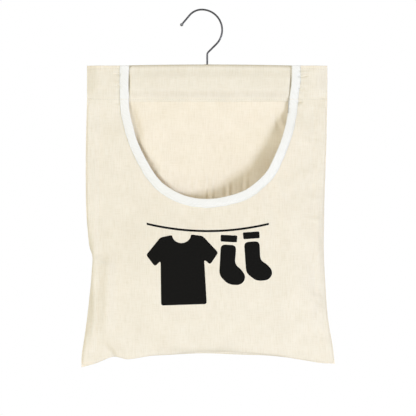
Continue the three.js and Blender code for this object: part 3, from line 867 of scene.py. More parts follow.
def calico():
    """Unbleached plain weave with slubs in warp and weft and a few dark flecks."""
    shader = Shader("calico", roughness=0.9, sheen_weight=0.12, sheen_roughness=0.5, specular_ior_level=0.2)
    flat = shader.millimetres()
    warp = shader.noise(shader.stretched(flat, 1, 0.09), 0.75, 3)
    weft = shader.noise(shader.stretched(flat, 0.09, 1), 0.95, 3)
    slubs = shader.math("MULTIPLY_ADD", warp, 0.6, shader.math("MULTIPLY", weft, 0.4))
    tones = ((0.3, (0.9, 0.875, 0.745)), (0.5, (0.968, 0.943, 0.828)), (0.7, (0.998, 0.983, 0.878)))
    mottle = shader.ramp(shader.noise(flat, 0.04, 3), (0.3, (0.968, 0.964, 0.955)), (0.7, 1))
    tone = shader.mix(1.0, shader.ramp(slubs, *tones), mottle, "MULTIPLY")
    fleck = shader.ramp(shader.noise(flat, 0.55, 4, 0.7), (0.775, 0), (0.83, 0.5))
    height = shader.math("MULTIPLY_ADD", slubs, 1.2, shader.weave(flat, CALICO_PITCH))
    shader.let_through(0.2, (1, 0.7, 0.11))
    return shader.finished(shader.mix(fleck, tone, (0.5, 0.38, 0.22, 1)), height, 0.4, 0.15)


def cotton_tape():
    """White bias tape, woven at a slant to its length."""
    sheen = {"sheen_weight": 0.1, "sheen_roughness": 0.5}
    shader = Shader("cotton_tape", roughness=0.85, specular_ior_level=0.2, **sheen)
    flat = shader.millimetres(math.radians(45))
    slubs = shader.noise(shader.stretched(flat, 1, 0.06), 1.2, 3)
    colour = shader.ramp(slubs, (0.3, (0.82, 0.826, 0.8)), (0.6, (0.86, 0.866, 0.845)))
    height = shader.math("MULTIPLY_ADD", slubs, 0.5, shader.weave(flat, TAPE_PITCH))
    return shader.finished(colour, height, 0.3, 0.1)


def sewing_thread(name, dark, pale):
    """Twisted sewing thread, darker in the grooves of its twist as painted shade."""
    shader = Shader(name, roughness=0.7, sheen_weight=0.15, sheen_roughness=0.4, specular_ior_level=0.3)
    inputs = {"Vector": shader.millimetres(math.radians(35)), "Scale": 1.1, "Distortion": 0.6}
    ply = shader.node("TexWave", inputs, wave_type="BANDS", bands_direction="X")
    # Painted shade: the colour runs from dark in the twist's grooves to pale on its crowns.
    return shader.finished(shader.ramp(ply, (0, dark), (1, pale)), ply, 0.5, 0.08)


def printing_ink():
    """Black ink in the cloth: the weave shows through it and wears it a little thin."""
    shader = Shader("printing_ink", roughness=0.9, specular_ior_level=0.08)
    flat = shader.millimetres()
    wear = shader.noise(flat, 0.9, 4, 0.65)
    colour = shader.ramp(wear, (0.35, (0.003, 0.003, 0.0028)), (0.72, (0.012, 0.0115, 0.01)))
    return shader.finished(colour, shader.weave(flat, CALICO_PITCH), 0.5, 0.12)


def wire_steel():
    """Drawn wire with fine lines along it and a slight clouding, with lighter patches in its colour that are
    painted highlights.
    """
    shader = Shader("wire_steel", metallic=1)
    flat = shader.millimetres()
    cloud = shader.noise(shader.stretched(flat, 0.15, 1), 0.8, 3)
    painted_highlight_patches = shader.noise(flat, 0.045, 1)
    clouding_and_painted_highlights = shader.math("MULTIPLY_ADD", painted_highlight_patches, 0.75, shader.math("MULTIPLY", cloud, 0.25))
    lines = shader.noise(shader.stretched(flat, 0.02, 0.01), 4, 4)
    shader.set("Roughness", shader.math("MULTIPLY_ADD", lines, 0.2, 0.24))
    # Painted highlights: the lighter patches of the wire's colour stand in for highlights, over a little real
    # clouding.
    colour = shader.ramp(clouding_and_painted_highlights, (0.46, (0.016, 0.016, 0.018)), (0.56, 0.15))
    return shader.finished(colour, lines, 0.15, 0.02)


def satin_metal():
    """Satin bead on the tip of the hook, and the washer."""
    shader = Shader("satin_metal", metallic=1)
    grain = shader.grain(4, (900, 900, 900))
    shader.set("Roughness", shader.math("MULTIPLY_ADD", grain, 0.25, 0.3))
    colour = shader.ramp(grain, (0.3, (0.12, 0.12, 0.118)), (0.7, (0.22, 0.22, 0.216)))
    return shader.finished(colour, grain, 0.2, 0.03)


def bar_wood():
    """Pale sanded wood with its grain along the bar."""
    shader = Shader("bar_wood", roughness=0.6, specular_ior_level=0.3)
    grain = shader.grain(5, (12, 260, 260), 0.8)
    tones = ((0.3, (0.42, 0.27, 0.13)), (0.55, (0.66, 0.48, 0.28)), (0.75, (0.76, 0.58, 0.36)))
    return shader.finished(shader.ramp(grain, *tones), grain, 0.3, 0.2)


CALICO = calico()
COTTON_TAPE = cotton_tape()
CREAM_THREAD = sewing_thread("cream_thread", (0.74, 0.66, 0.5), (0.9, 0.84, 0.7))
WHITE_THREAD = sewing_thread("white_thread", (0.78, 0.78, 0.73), (0.94, 0.94, 0.91))
INK = printing_ink()
STEEL = wire_steel()
SATIN = satin_metal()
WOOD = bar_wood()

# The mouth's edge as it was cut by hand.
MOUTH_SPACING = 1 * MM
MOUTH_SAMPLES = 2000
HAND_WOBBLE = 0.3 * MM
HAND_WOBBLE_STEP = 19 * MM


def mouth_line():
    """Places along the mouth's edge as seen from the front, from strap to strap, with the directions away
    from the opening and the number of steps along a strap."""
    along = lengths_along(np.array(MOUTH_EDGE, float))
    fine = np.linspace(0, along[-1], MOUTH_SAMPLES) * MM
    edge = columns(*(curve_through(list(zip(along, values)))(fine) for values in zip(*MOUTH_EDGE)))
    top = top_z(MOUTH_EDGE[-1][0] * MM) - CLOTH
    count = round((top - STITCH_Z) / MOUTH_SPACING)
    down = np.linspace(top, STITCH_Z, count, endpoint=False)
    left, right = (columns(side(down), down) for side in (mouth_left, mouth_right))
    start, end = ([[side(STITCH_Z), STITCH_Z]] for side in (mouth_left, mouth_right))
    curve = np.concatenate([start, edge[edge[:, 1] < STITCH_Z], end])
    length = lengths_along(curve)[-1]
    curve = at_distances(curve, np.linspace(0, length, round(length / MOUTH_SPACING) + 1))[0]
    line = np.concatenate([left, curve, right[::-1]])
    tangent = unit(np.gradient(line, axis=0))
    out = columns(tangent[:, 1], -tangent[:, 0])
    along = lengths_along(line)
    knots = np.arange(0, along[-1] + HAND_WOBBLE_STEP, HAND_WOBBLE_STEP)
    wobble = np.interp(along, knots, rng.normal(0, HAND_WOBBLE, len(knots)))
    return line + out * wobble[:, None], out, count


MOUTH_LINE, MOUTH_OUT, STRAP_STEPS = mouth_line()


def beside_mouth(outward):
    """Flat distances of the places at a distance outside the mouth's edge."""
    target = MOUTH_LINE + MOUTH_OUT * np.broadcast_to(outward, len(MOUTH_LINE))[:, None]
    return flat_under(target[:, 0], target[:, 1])


# The front panel: how far its raw edge lies inside the tape, and its rows of points out to the seams.
CLOTH_EDGE_INSET = 1.1 * MM
FRONT_ROWS = 70
FRONT_EDGE_ROWS = np.array([6, 4.6, 3.4, 2.6, 2.1, 1.7, 1.3, 0.9, 0.5, 0.2, 0]) * MM
SIDE_STEP_SHARE = 0.33


def make_front():
    """The front panel between the mouth and its cut edge, from strap to strap."""
    inner = columns(*beside_mouth(CLOTH_EDGE_INSET))
    curve_steps = len(MOUTH_LINE) - 2 * STRAP_STEPS - 1
    side_steps = round(curve_steps * SIDE_STEP_SHARE)
    strap = np.linspace(inner[0, 1], 0, STRAP_STEPS, endpoint=False)
    down = np.concatenate([strap, np.linspace(0, CUT_LENGTH, side_steps + 1)])
    left = columns(-cut_half(down), down)
    low = np.linspace(-CUT_LOW_HALF, CUT_LOW_HALF, curve_steps - 2 * side_steps + 1)[1:-1]
    outer = np.concatenate([left, columns(low, CUT_LENGTH), (left * [-1, 1])[::-1]])
    reach = np.linalg.norm(outer - inner, axis=1)[:, None]
    rows = np.linspace(0, 1, FRONT_ROWS)[:-1] * (1 - FRONT_EDGE_ROWS[0] / reach)
    share = np.concatenate([rows, 1 - FRONT_EDGE_ROWS / reach], 1)[..., None]
    flat = blend(inner[:, None], outer[:, None], share)
    places = front_place(flat[..., 0], flat[..., 1])
    thing = piece("calico_front", grid_mesh(places, flat), CALICO, replaces=["front_panel"])
    return thicken(thing, CLOTH)


# The back panel: the hook's slit in its fold, and its points, closer at the slit and beside the straps.
SLIT_RADIUS = 2.4 * MM
SLIT_COLUMNS = 13
SLIT_HALF_ANGLE = 0.02
BACK_COLUMNS = 161
BACK_ROWS = 113
LAST_ROW = 0.5 * MM
STRAP_COLUMNS = (*np.arange(-99, -92, 0.8), *np.arange(98, 107, 0.8))
CASING_ROWS = 26
FOLD_ROWS = 10
HEM_ROWS = 4


def fold_over(x, fold_z):
    """The casing's fold over the bar, drawn open at the hook's slit."""
    angle = np.append(np.linspace(0, np.pi / 2, FOLD_ROWS)[1:-1], np.pi / 2 - SLIT_HALF_ANGLE)
    angle = np.concatenate([angle, (np.pi - angle)[::-1]])[:, None]
    depth = casing_depth(x, fold_z)
    y = depth * np.cos(angle)
    opening = np.sqrt(np.clip(SLIT_RADIUS ** 2 - x ** 2, 0, None))
    y = y + np.sign(y) * opening * np.clip(1 - np.abs(y) / depth, 0, 1) ** 2
    return columns(x, y, fold_z + WRAP_DEPTH * np.sqrt(np.clip(1 - (y / depth) ** 2, 0, 1)))


def make_back():
    """The back panel: up from the bottom seam, over the bar, and down the front to the hem of the casing."""
    slit = np.linspace(-1, 1, SLIT_COLUMNS) * SLIT_RADIUS
    extra = np.concatenate([slit, mm(*STRAP_COLUMNS)]) / CUT_TOP_HALF
    across = np.unique(np.concatenate([np.linspace(-1, 1, BACK_COLUMNS), extra]).round(5))
    drop = np.insert(np.linspace(CUT_LENGTH, 0, BACK_ROWS), 1, CUT_LENGTH - LAST_ROW)[:, None]
    pouch_x, x = across * cut_half(drop), across * CUT_TOP_HALF
    pouch = back_place(pouch_x, np.broadcast_to(drop, pouch_x.shape))
    fold_z = top_z(x) - CLOTH / 2 - WRAP_DEPTH
    back_z = blend(STITCH_Z, fold_z, np.linspace(0, 1, CASING_ROWS)[1:, None])
    behind = columns(x, casing_depth(x, back_z), back_z)
    over = fold_over(x, fold_z)
    hem_z = STITCH_Z - np.linspace(0, HEM_DROP, HEM_ROWS)[:, None] * np.ones_like(x)
    front_z = np.concatenate([back_z[::-1], hem_z])
    before = columns(x, -casing_depth(x, front_z) - casing_puff(x, front_z), front_z)
    places = np.concatenate([pouch, behind, over, before])
    flat_x = np.concatenate([pouch_x, np.tile(x, (len(places) - len(pouch), 1))])
    uv = columns(flat_x, lengths_along(places[:, across.size // 2])[:, None])
    keep = np.ones((len(places) - 1, across.size - 1), bool)
    slit_row = len(pouch) + len(behind) + len(over) // 2 - 1
    keep[slit_row] = np.abs(x[1:] + x[:-1]) / 2 > SLIT_RADIUS
    thing = piece("calico_back", grid_mesh(places, uv, keep), CALICO, replaces=["back_panel"])
    return thicken(thing, CLOTH)


calico_front = make_front()
calico_back = make_back()

# The tape round the mouth.
TAPE_WIDTH = 11 * MM
TAPE_HEIGHT = 0.75 * MM
TAPE_STITCH_INSET = 1.5 * MM
TAPE_STITCH_LINE = TAPE_WIDTH - TAPE_STITCH_INSET
TAPE_STITCH_DIP = 0.24 * MM
TAPE_DIP_WIDTH = 1 * MM
TAPE_MIDDLE = mm(8, 1.6)
TAPE_PUFF = 0.18 * MM
TAPE_UNEVEN = 0.02
TAPE_RIPPLE = 0.12 * MM
TAPE_KNOTS = (60, 110)
PUCKER_PITCH = 6.5 * MM
PUCKER_HEIGHT = 0.14 * MM
PUCKER_UNEVEN = 0.8
PUCKER_LEFT_SHARE = 0.4
PUCKER_RISE = (0.6, 0.75)


def tape_height(outward):
    """Height of the tape's middle over the cloth's, at a distance from the mouth's edge."""
    dip = TAPE_STITCH_DIP * np.exp(-((outward - TAPE_STITCH_LINE) / TAPE_DIP_WIDTH) ** 2)
    return TAPE_HEIGHT - dip + TAPE_PUFF * np.sin(np.pi * np.clip(outward / TAPE_STITCH_LINE, 0, 1))


def tape_section():
    """Distances from the mouth's edge and heights, from the outer edge in front round to the one inside."""
    turn = np.linspace(-np.pi / 2, np.pi / 2, 7)
    fold = [(TAPE_HEIGHT * (1 - math.cos(angle)), -TAPE_HEIGHT * math.sin(angle)) for angle in turn]
    at_stitches = np.linspace(TAPE_WIDTH, TAPE_WIDTH - 2 * TAPE_STITCH_INSET, 7)
    flat = np.concatenate([at_stitches, np.linspace(*TAPE_MIDDLE, 6)])
    return [(q, tape_height(q)) for q in flat] + fold + [(q, -TAPE_HEIGHT) for q in flat[::-2]]


def make_tape():
    """Tape folded over the raw edge of the mouth, with a slightly uneven width and small ripples."""
    section = tape_section()
    along = lengths_along(MOUTH_LINE)
    share = along / along[-1]
    uneven, ripple = (np.interp(share, np.linspace(0, 1, n), rng.normal(0, 1, n)) for n in TAPE_KNOTS)
    pucker_height = blend(PUCKER_LEFT_SHARE, 1, smoothstep(share, *PUCKER_RISE))
    rows = []
    for outward, height in section:
        slant = np.sin(2 * np.pi * (along + outward) / PUCKER_PITCH + PUCKER_UNEVEN * uneven)
        relief = TAPE_RIPPLE * ripple + PUCKER_HEIGHT * pucker_height * slant
        across = outward / TAPE_WIDTH
        lift = height + np.sign(height) * relief * across * (1 - across) * 4
        rows.append(front_point(*beside_mouth(outward * (1 + TAPE_UNEVEN * uneven)), lift))
    uv = columns(along[:, None], lengths_along(np.array(section)))
    mesh = grid_mesh(np.stack(rows, 1), uv)
    thing = piece("mouth_tape", mesh, COTTON_TAPE, replaces=["neck_binding"])
    return thicken(thing, TAPE)


mouth_tape = make_tape()


# Stitches. The row inside the mouth starts some steps below the casing.
INSIDE_START = 6
CASING_SAMPLES = 160
STRAP_SAMPLES = 40
SLIT_STITCHES = 40
SLIT_STITCH_RING = 3.1 * MM
SLIT_STITCH_LENGTH = 1.9 * MM
SLIT_THREAD_RADIUS = 0.24 * MM


def cream_row(name, node, mesh):
    return piece(name, mesh, CREAM_THREAD, replaces=[node])


def make_tape_stitches(name, node, facing, stations):
    """The row along the tape's outer edge, in front of the mouth or inside it."""
    a, drop = (values[stations] for values in beside_mouth(TAPE_STITCH_LINE))
    layer = tape_height(TAPE_STITCH_LINE) if facing > 0 else TAPE_HEIGHT
    height = np.full(len(a), facing * (layer + TAPE / 2))
    line = front_point(a, drop, height)
    normals = unit(front_point(a, drop, height + facing * MM) - line)
    return piece(name, stitches_on(line, normals), WHITE_THREAD, replaces=[node])


def strap_line(x, z, height):
    """Places on the straps at x and z, lifted off the middle of the cloth."""
    return front_point(*flat_under(x, np.broadcast_to(z, x.shape)), np.broadcast_to(height, x.shape))


def make_casing_stitches():
    """The row across the whole width: on the casing in the mouth, on the tape and on the straps."""
    reach = CUT_TOP_HALF - SEAM_INSET
    count = round(2 * reach / STITCH_PITCH)
    x = (np.arange(count) + 0.5) * 2 * reach / count - reach
    from_edge = -inside_mouth(x, STITCH_Z)
    on_casing = columns(x, -casing_depth(x, STITCH_Z) - CLOTH / 2, STITCH_Z)
    height = np.where((from_edge > 0) & (from_edge < TAPE_WIDTH), TAPE_HEIGHT + TAPE / 2, CLOTH / 2)
    places = np.where((from_edge > 0)[:, None], strap_line(x, STITCH_Z, height), on_casing)
    directions, normals = (np.broadcast_to(axis, places.shape) for axis in ([1.0, 0, 0], [0.0, -1, 0]))
    mesh = stitch_mesh(places, directions, normals)
    return cream_row("casing_stitches", "casing_stitching_front", mesh)


def make_casing_back_stitches():
    """The same row seen from behind."""
    x = np.linspace(-1, 1, CASING_SAMPLES) * (CUT_TOP_HALF - SEAM_INSET)
    line = columns(x, casing_depth(x, STITCH_Z) + CLOTH / 2, STITCH_Z)
    return cream_row("casing_back_stitches", "casing_stitching_back", stitches_on(line, (0, 1, 0)))


def make_strap_stitches(side, sign):
    """The row that holds the top of a strap to the casing."""
    inner = MOUTH_EDGE[0 if sign < 0 else -1][0] * MM + sign * (TAPE_WIDTH + MM)
    x = np.linspace(inner, sign * (CUT_TOP_HALF - SEAM_INSET), STRAP_SAMPLES)
    line = strap_line(x, top_z(x) - SEAM_INSET, CLOTH / 2)
    return cream_row(f"{side}_strap_stitches", f"{side}_strap_stitching", stitches_on(line, (0, -1, 0)))


def make_slit_stitches():
    """Close stitches worked round the hole for the shank, lying on the fold."""
    angle = np.arange(SLIT_STITCHES) * 2 * np.pi / SLIT_STITCHES
    outer = WRAP_DEPTH + CLOTH / 2
    tilt = np.arcsin(np.sin(angle) * SLIT_STITCH_RING / outer)
    normals = columns(0, np.sin(tilt), np.cos(tilt))
    places = normals * outer + columns(np.cos(angle) * SLIT_STITCH_RING, 0, TOP_Z - outer)
    out = columns(np.cos(angle), np.sin(angle), 0)
    directions = unit(out - normals * np.sum(out * normals, 1, keepdims=True))
    mesh = stitch_mesh(places, directions, normals, SLIT_STITCH_LENGTH, SLIT_THREAD_RADIUS)
    return cream_row("slit_stitches", "hook_slit_stitching", mesh)


below_casing = slice(STRAP_STEPS + INSIDE_START, -STRAP_STEPS - INSIDE_START)
make_tape_stitches("tape_stitches", "binding_stitching_front", 1, slice(None))
make_tape_stitches("tape_inside_stitches", "binding_stitching_back", -1, below_casing)
make_casing_stitches()
make_casing_back_stitches()
make_strap_stitches("left", -1)
make_strap_stitches("right", 1)
make_slit_stitches()

# Seam allowances, each a strip with points at some distances from the seam, and the thread over its edge.
ALLOWANCE_ROWS = np.array([0.5, 3, 6, 9]) * MM
ALLOWANCE_STEP = 2.5 * MM
ALLOWANCE_END = 0.5 * MM
ALLOWANCE_THICKNESS = 0.7 * MM
ALLOWANCE_WAVE = 0.35 * MM
ALLOWANCE_KNOTS = 24
SIDE_TOP_POINTS = 16
BOTTOM_END_COLUMNS = 3
OVERLOCK_POINTS = 8
OVERLOCK_REACH = 2 * MM
OVERLOCK_PAST_EDGE = 0.5 * MM
OVERLOCK_DEPTH = 0.62 * MM
OVERLOCK_RADIUS = 0.18 * MM
OVERLOCK_SIDES = 5


def overlock_mesh(edge, inside):
    """A thread in loops over the edge of an allowance, one loop for each of its points."""
    turns = np.arange(0, len(edge) - 1, 1 / OVERLOCK_POINTS)
    knots = np.arange(len(edge))
    loop, into = (columns(*(np.interp(turns, knots, c) for c in values.T)) for values in (edge, inside))
    phase = turns * 2 * np.pi
    loop += into * (OVERLOCK_PAST_EDGE - OVERLOCK_REACH * (1 - np.cos(phase)))[:, None]
    loop[:, 1] += OVERLOCK_DEPTH * np.cos(phase / 2)
    return tube_mesh(loop, OVERLOCK_RADIUS, OVERLOCK_SIDES)


def make_allowance(name, node, line, inward):
    """A seam allowance turned inside the bag, with its overlocked edge."""
    distances = np.arange(ALLOWANCE_END, lengths_along(line)[-1] - ALLOWANCE_END, ALLOWANCE_STEP)
    place, inside = at_distances(line, distances, inward)
    inside = unit(inside)
    knots = np.linspace(0, distances[-1], ALLOWANCE_KNOTS)
    wave = np.interp(distances, knots, rng.normal(0, ALLOWANCE_WAVE, ALLOWANCE_KNOTS))
    places = place[:, None] + inside[:, None] * ALLOWANCE_ROWS[:, None]
    places[..., 1] += wave[:, None] * ALLOWANCE_ROWS / ALLOWANCE_ROWS[-1]
    uv = columns(ALLOWANCE_ROWS, distances[:, None])
    strip = piece(name, grid_mesh(places, uv), CALICO, replaces=[node])
    thread = overlock_mesh(places[:, -1], inside)
    piece(name.replace("allowance", "overlock"), thread, CREAM_THREAD)
    return thicken(strip, ALLOWANCE_THICKNESS)


def seam_lines():
    """The three seams as lines, each with the directions into the bag."""
    z = np.linspace(top_z(CUT_TOP_HALF) - SEAM_INSET, STITCH_Z, SIDE_TOP_POINTS)[:-1]
    left, right = columns(-CUT_TOP_HALF, 0, z), columns(CUT_TOP_HALF, 0, z)
    lines = {
        "left": np.concatenate([left, back_grid[:-1, 0]]),
        "right": np.concatenate([right, back_grid[:-1, -1]]),
        "bottom": back_grid[-1, BOTTOM_END_COLUMNS:-BOTTOM_END_COLUMNS],
    }
    for side, line in lines.items():
        inward = np.cross(unit(np.gradient(line, axis=0)), [0, 1, 0])
        lines[side] = line, -inward if side == "right" else inward
    return lines


allowances = [
    make_allowance(f"{side}_allowance", f"{side}_side_seam" if side != "bottom" else "bottom_seam", *line)
    for side, line in seam_lines().items()
]

# The print, a shirt and two socks under a slack line, in millimetres. Places are (x, z, degrees of turn).
PRINT_CENTRE = (0.6, -324.6)
SHIRT_PLACE = (-31, 2, 2)
SHIRT_SCALE = 1.32
SOCK_PLACES = ((25, 15, -3), (56, 19, 4))
SOCK_SCALE = 1.2
LINE_HALF_LENGTH = 76
LINE_LOW_Z = 50
LINE_SAG = 9
LINE_HALF_WIDTH = 1.3
PRINT_SPACING = 1.2
PRINT_INNER_SPACING = 4
PRINT_LIFT = 0.07 * MM
PRINT_THICKNESS = 0.06 * MM


def rounded(points, radius):
    """A closed outline with its corners rounded off."""
    points = np.array(points, float)
    outline = []
    for before, corner, after in zip(np.roll(points, 1, 0), points, np.roll(points, -1, 0)):
        arms = [end - corner for end in (before, after)]
        start, end = (corner + arm * min(0.5, radius / np.linalg.norm(arm)) for arm in arms)
        for t in np.linspace(0, 1, 7):
            outline.append((1 - t) ** 2 * start + 2 * t * (1 - t) * corner + t * t * end)
    return np.array(outline)


def placed(outline, x, z, turn):
    c, s = math.cos(math.radians(turn)), math.sin(math.radians(turn))
    return outline @ np.array([[c, s], [-s, c]]) + [x, z]


def shirt_outline():
    right = [(9, 33), (20, 31), (34, 15), (26, 4), (20.5, 9), (21.5, -33)]
    neck = [(9 * math.cos(angle), 33 - 8 * math.sin(angle)) for angle in np.linspace(math.pi - 0.3, 0.3, 9)]
    return rounded(neck + right + [(-x, z) for x, z in right[::-1]], 2.2)


def sock_outlines():
    leg = [(-8, 15), (8, 15), (7.5, -5), (15, -10), (20, -18), (15, -26), (2, -26), (-8, -17)]
    return rounded([(-8.6, 25), (8.6, 25), (8.4, 18), (-8.4, 18)], 1.2), rounded(leg, 5)


def line_outline():
    share = np.linspace(-1, 1, 60)
    run = columns(LINE_HALF_LENGTH * share, LINE_LOW_Z + LINE_SAG * share ** 2)
    return np.concatenate([run + [0, LINE_HALF_WIDTH], run[::-1] - [0, LINE_HALF_WIDTH]])


def fill_outline(outline):
    """Points and triangles that fill an outline, close enough to follow the cloth."""
    closed = np.concatenate([outline, outline[:1]])
    total = lengths_along(closed)[-1]
    rim = at_distances(closed, np.linspace(0, total, round(total / PRINT_SPACING), endpoint=False))[0]
    inner = (np.arange(*ends, PRINT_INNER_SPACING) for ends in zip(rim.min(0), rim.max(0)))
    inner = np.stack(np.meshgrid(*inner, indexing="ij"), -1).reshape(-1, 2)
    points = [Vector(point) for point in np.concatenate([rim, inner]).tolist()]
    edges = [(i, (i + 1) % len(rim)) for i in range(len(rim))]
    found, _, triangles, *_ = delaunay_2d_cdt(points, edges, [], 1, 1e-4)
    return np.array(found), triangles


def make_print():
    """The print's shapes, laid on the front panel."""
    outlines = [line_outline(), placed(shirt_outline() * SHIRT_SCALE, *SHIRT_PLACE)]
    for place in SOCK_PLACES:
        outlines += [placed(outline * SOCK_SCALE, *place) for outline in sock_outlines()]
    points, faces = np.empty((0, 2)), []
    for outline in outlines:
        found, triangles = fill_outline(outline)
        faces += [[i + len(points) for i in triangle] for triangle in triangles]
        points = np.concatenate([points, found])
    a, drop = flat_under(*((points + PRINT_CENTRE) * MM).T)
    places = front_point(a, drop, np.full(len(a), CLOTH / 2 + PRINT_LIFT))
    return thicken(piece("front_print", mesh_of(places, faces, columns(a, drop)), INK), PRINT_THICKNESS)


make_print()

# The hook: its wire, the rivet under the washer, and the knob on its tip with a collar round the wire.
WIRE_RADIUS = 1.2 * MM
WIRE_STEP = 0.9 * MM
WIRE_SIDES = 24
TURNED_GIRTH = 2 * MM
BOW_RADIUS = 25.4 * MM
BOW_OFFSET = -6.75 * MM
NECK_SLOPE = math.radians(45)
NECK_BEND_RADIUS = 5 * MM
TIP_CURVE_RADIUS = 20 * MM
TIP_CURVE_TURN = math.radians(50)
TIP_RUN = 15 * MM
SHANK_POINTS, NECK_POINTS, BOW_POINTS, TIP_POINTS, RUN_POINTS = 12, 12, 70, 30, 10
RIVET_RADIUS = 2.4 * MM
RIVET_HEIGHT = 1.5 * MM
RIVET_RIM = 0.01 * MM
RIVET_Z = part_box("hook_wire")[0].z
BALL_RADIUS = 2.1 * MM
BALL_PAST_TIP = 0.4 * MM
BALL_FROM_ANGLE = 0.64
COLLAR = (mm(0, -2.4), mm(1.32, -2.4), mm(1.4, -2.1))


def arc(centre, radius, start, end, count):
    angle = np.linspace(start, end, count)
    return columns(centre[0] + radius * np.cos(angle), centre[1] + radius * np.sin(angle))


def hook_line():
    """The wire's centre line from the rivet up to the tip."""
    bow = np.array([BOW_OFFSET, -math.sqrt((BOW_RADIUS - WIRE_RADIUS) ** 2 - BOW_OFFSET ** 2)])
    tangent = bow + BOW_RADIUS * np.array([math.sin(NECK_SLOPE), -math.cos(NECK_SLOPE)])
    bend_z = tangent[1] - tangent[0] - NECK_BEND_RADIUS * math.tan(NECK_SLOPE / 2)
    shank_z = np.linspace(RIVET_Z + RIVET_HEIGHT / 2, bend_z, SHANK_POINTS, endpoint=False)
    tip_turn = math.pi / 2 + TIP_CURVE_TURN
    tip_centre = bow + [0, BOW_RADIUS - TIP_CURVE_RADIUS]
    tip = arc(tip_centre, TIP_CURVE_RADIUS, math.pi / 2, tip_turn, TIP_POINTS)
    run = np.linspace(0, TIP_RUN, RUN_POINTS)[1:, None] * [-math.sin(tip_turn), math.cos(tip_turn)]
    line = np.concatenate([
        columns(0, shank_z),
        arc((NECK_BEND_RADIUS, bend_z), NECK_BEND_RADIUS, math.pi, math.pi - NECK_SLOPE, NECK_POINTS),
        arc(bow, BOW_RADIUS, -NECK_SLOPE, math.pi / 2, BOW_POINTS),
        tip[1:],
        tip[-1] + run,
    ])
    total = lengths_along(line)[-1]
    line = at_distances(line, np.linspace(0, total, round(total / WIRE_STEP)))[0]
    return columns(line[:, 0], 0, line[:, 1])


def turned_mesh(profile, centre, axis, sides=32):
    """A closed solid turned round an axis from (radius, height) pairs that start and end on it."""
    axis = unit(np.array(axis, float))
    side = unit(np.cross(axis, [0, 1, 0]))
    profile = np.array(profile, float)
    angle, ring = round_ring(sides, side, np.cross(axis, side))
    rings = [centre + axis * height + ring * radius for radius, height in profile[1:-1]]
    ends = [centre + axis * profile[i, 1] for i in (0, -1)]
    places = np.concatenate([*rings, ends])
    index = np.arange(len(rings) * sides).reshape(len(rings), sides)
    faces = tube_cells(index)
    for row, end in ((index[0], len(places) - 2), (index[-1, ::-1], len(places) - 1)):
        faces += [[end, *pair] for pair in zip(np.roll(row, -1).tolist(), row.tolist())]
    uv = columns(lengths_along(profile)[1:-1, None], angle * TURNED_GIRTH).reshape(-1, 2)
    return mesh_of(places, faces, np.concatenate([uv, np.zeros((2, 2))]))


def make_hook():
    """The wire, its rivet and the knob."""
    line = hook_line()
    wire = tube_mesh(line, WIRE_RADIUS, WIRE_SIDES)
    piece("hook_wire_drawn", wire, STEEL, "hook", ["hook_wire"])
    dome = [(RIVET_RADIUS * math.sin(t), -RIVET_HEIGHT * math.cos(t)) for t in np.linspace(0, math.pi / 2, 8)]
    head = turned_mesh([*dome, (RIVET_RADIUS, -RIVET_RIM), (0, 0)], [0, 0, RIVET_Z + RIVET_HEIGHT], (0, 0, 1))
    piece("hook_rivet", head, STEEL, "hook")
    direction = unit(line[-1] - line[-2])
    turn = np.linspace(BALL_FROM_ANGLE, math.pi, 20)[:-1]
    bead = [(BALL_RADIUS * math.sin(t), -BALL_RADIUS * math.cos(t)) for t in turn]
    knob = turned_mesh([*COLLAR, *bead, (0, BALL_RADIUS)], line[-1] + direction * BALL_PAST_TIP, direction)
    piece("hook_knob", knob, SATIN, "hook", ["hook_end_ball"])


make_hook()
for node, material in (("hanger_bar", WOOD), ("swivel_washer", SATIN)):
    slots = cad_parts[node].data.materials
    slots.clear()
    slots.append(material)

# The length that the tape was cut to.
TAPE_FLAT_LENGTH = lengths_along(np.array(MOUTH_EDGE, float))[-1] * MM


# Floor, light and camera.
FLOOR_Z = -820 * MM
FLOOR_RADIUS = 800 * MM
FLOOR_STEPS = 33
FLOOR_GLOW = 0.34
AMBIENT_COLOUR = (1, 0.93, 0.66, 1)
AMBIENT_STRENGTH = 0.42
WHITE = (1, 1, 1, 1)
LAMP_TARGET = Vector((0, 0, -0.26))
CAMERA_DISTANCE = 2600 * MM
FRAME_WIDTH = 520 * MM
FRAME_CENTRE = mm(1, -245.9)


def seen_directly(graph):
    """1 for what the camera, a reflection or clear glass shows, 0 for what lights a matt surface or cloth."""
    seen = graph.node("LightPath", output="Is Camera Ray")
    rays = seen.node.outputs
    for operation, ray in (("MAXIMUM", "Glossy"), ("MAXIMUM", "Transmission"), ("SUBTRACT", "Diffuse")):
        seen = graph.math(operation, seen, rays[f"Is {ray} Ray"], use_clamp=True)
    return seen


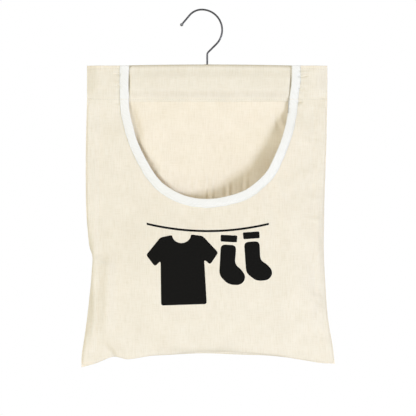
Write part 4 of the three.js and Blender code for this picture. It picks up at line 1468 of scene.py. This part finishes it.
def make_floor():
    """A round pale floor under the bag."""
    shader = Shader("pale_floor", roughness=0.8, specular_ior_level=0.2, emission_color=WHITE)
    shader.set("Emission Strength", shader.math("MULTIPLY", seen_directly(shader), FLOOR_GLOW))
    shader.set("Base Color", shader.ramp(shader.grain(3, (40, 40, 40)), (0.3, 0.88), (0.7, 0.9)))
    steps = np.linspace(-1, 1, FLOOR_STEPS)
    x, y = np.meshgrid(steps, steps[::-1])
    across, along = x * np.sqrt(1 - y ** 2 / 2), y * np.sqrt(1 - x ** 2 / 2)
    places = columns(across * FLOOR_RADIUS, along * FLOOR_RADIUS, FLOOR_Z)
    mesh = grid_mesh(places, places[..., :2])
    mesh.materials.append(shader.material)
    floor = put("floor", mesh)


def make_world():
    """Soft light from all round, with a white background where the camera or a reflection sees it."""
    world = bpy.data.worlds.new("studio")
    bpy.context.scene.world = world
    graph = Graph(world)
    background = graph.tree.nodes["Background"]
    seen = seen_directly(graph)
    graph.link(graph.mix(seen, AMBIENT_COLOUR, WHITE), background.inputs["Color"])
    strength = graph.node("MapRange", {"Value": seen, "To Min": AMBIENT_STRENGTH, "To Max": 1})
    graph.link(strength, background.inputs["Strength"])


def make_lamp(name, place, size, power, colour):
    """A round soft lamp that faces the bag."""
    lamp = bpy.data.lights.new(name, "AREA")
    lamp.shape = "DISK"
    lamp.size = size
    lamp.energy = power
    lamp.color = colour
    thing = put(name, lamp)
    thing.location = place
    thing.rotation_euler = (LAMP_TARGET - thing.location).to_track_quat("-Z", "Y").to_euler()


def make_camera():
    """A camera straight in front of the bag, as in the photograph."""
    camera = put("camera", bpy.data.cameras.new("camera"))
    camera.data.lens = camera.data.sensor_width * CAMERA_DISTANCE / FRAME_WIDTH
    camera.location = (FRAME_CENTRE[0], -CAMERA_DISTANCE, FRAME_CENTRE[1])
    camera.rotation_euler = (math.pi / 2, 0, 0)
    bpy.context.scene.camera = camera


make_floor()
make_world()
make_lamp("key", place=(2.97, -2.48, -1), size=1.26, power=88, colour=(0.96, 1.01, 1.23))
make_lamp("fill", place=(-2.8, -2.8, 0.3), size=2.1, power=78, colour=(1, 1.01, 1.07))
make_lamp("back", place=(0.5, 2.6, 1.5), size=2.4, power=32, colour=(0.96, 1, 1.16))
make_camera()
bpy.context.scene.view_settings.view_transform = "Standard"
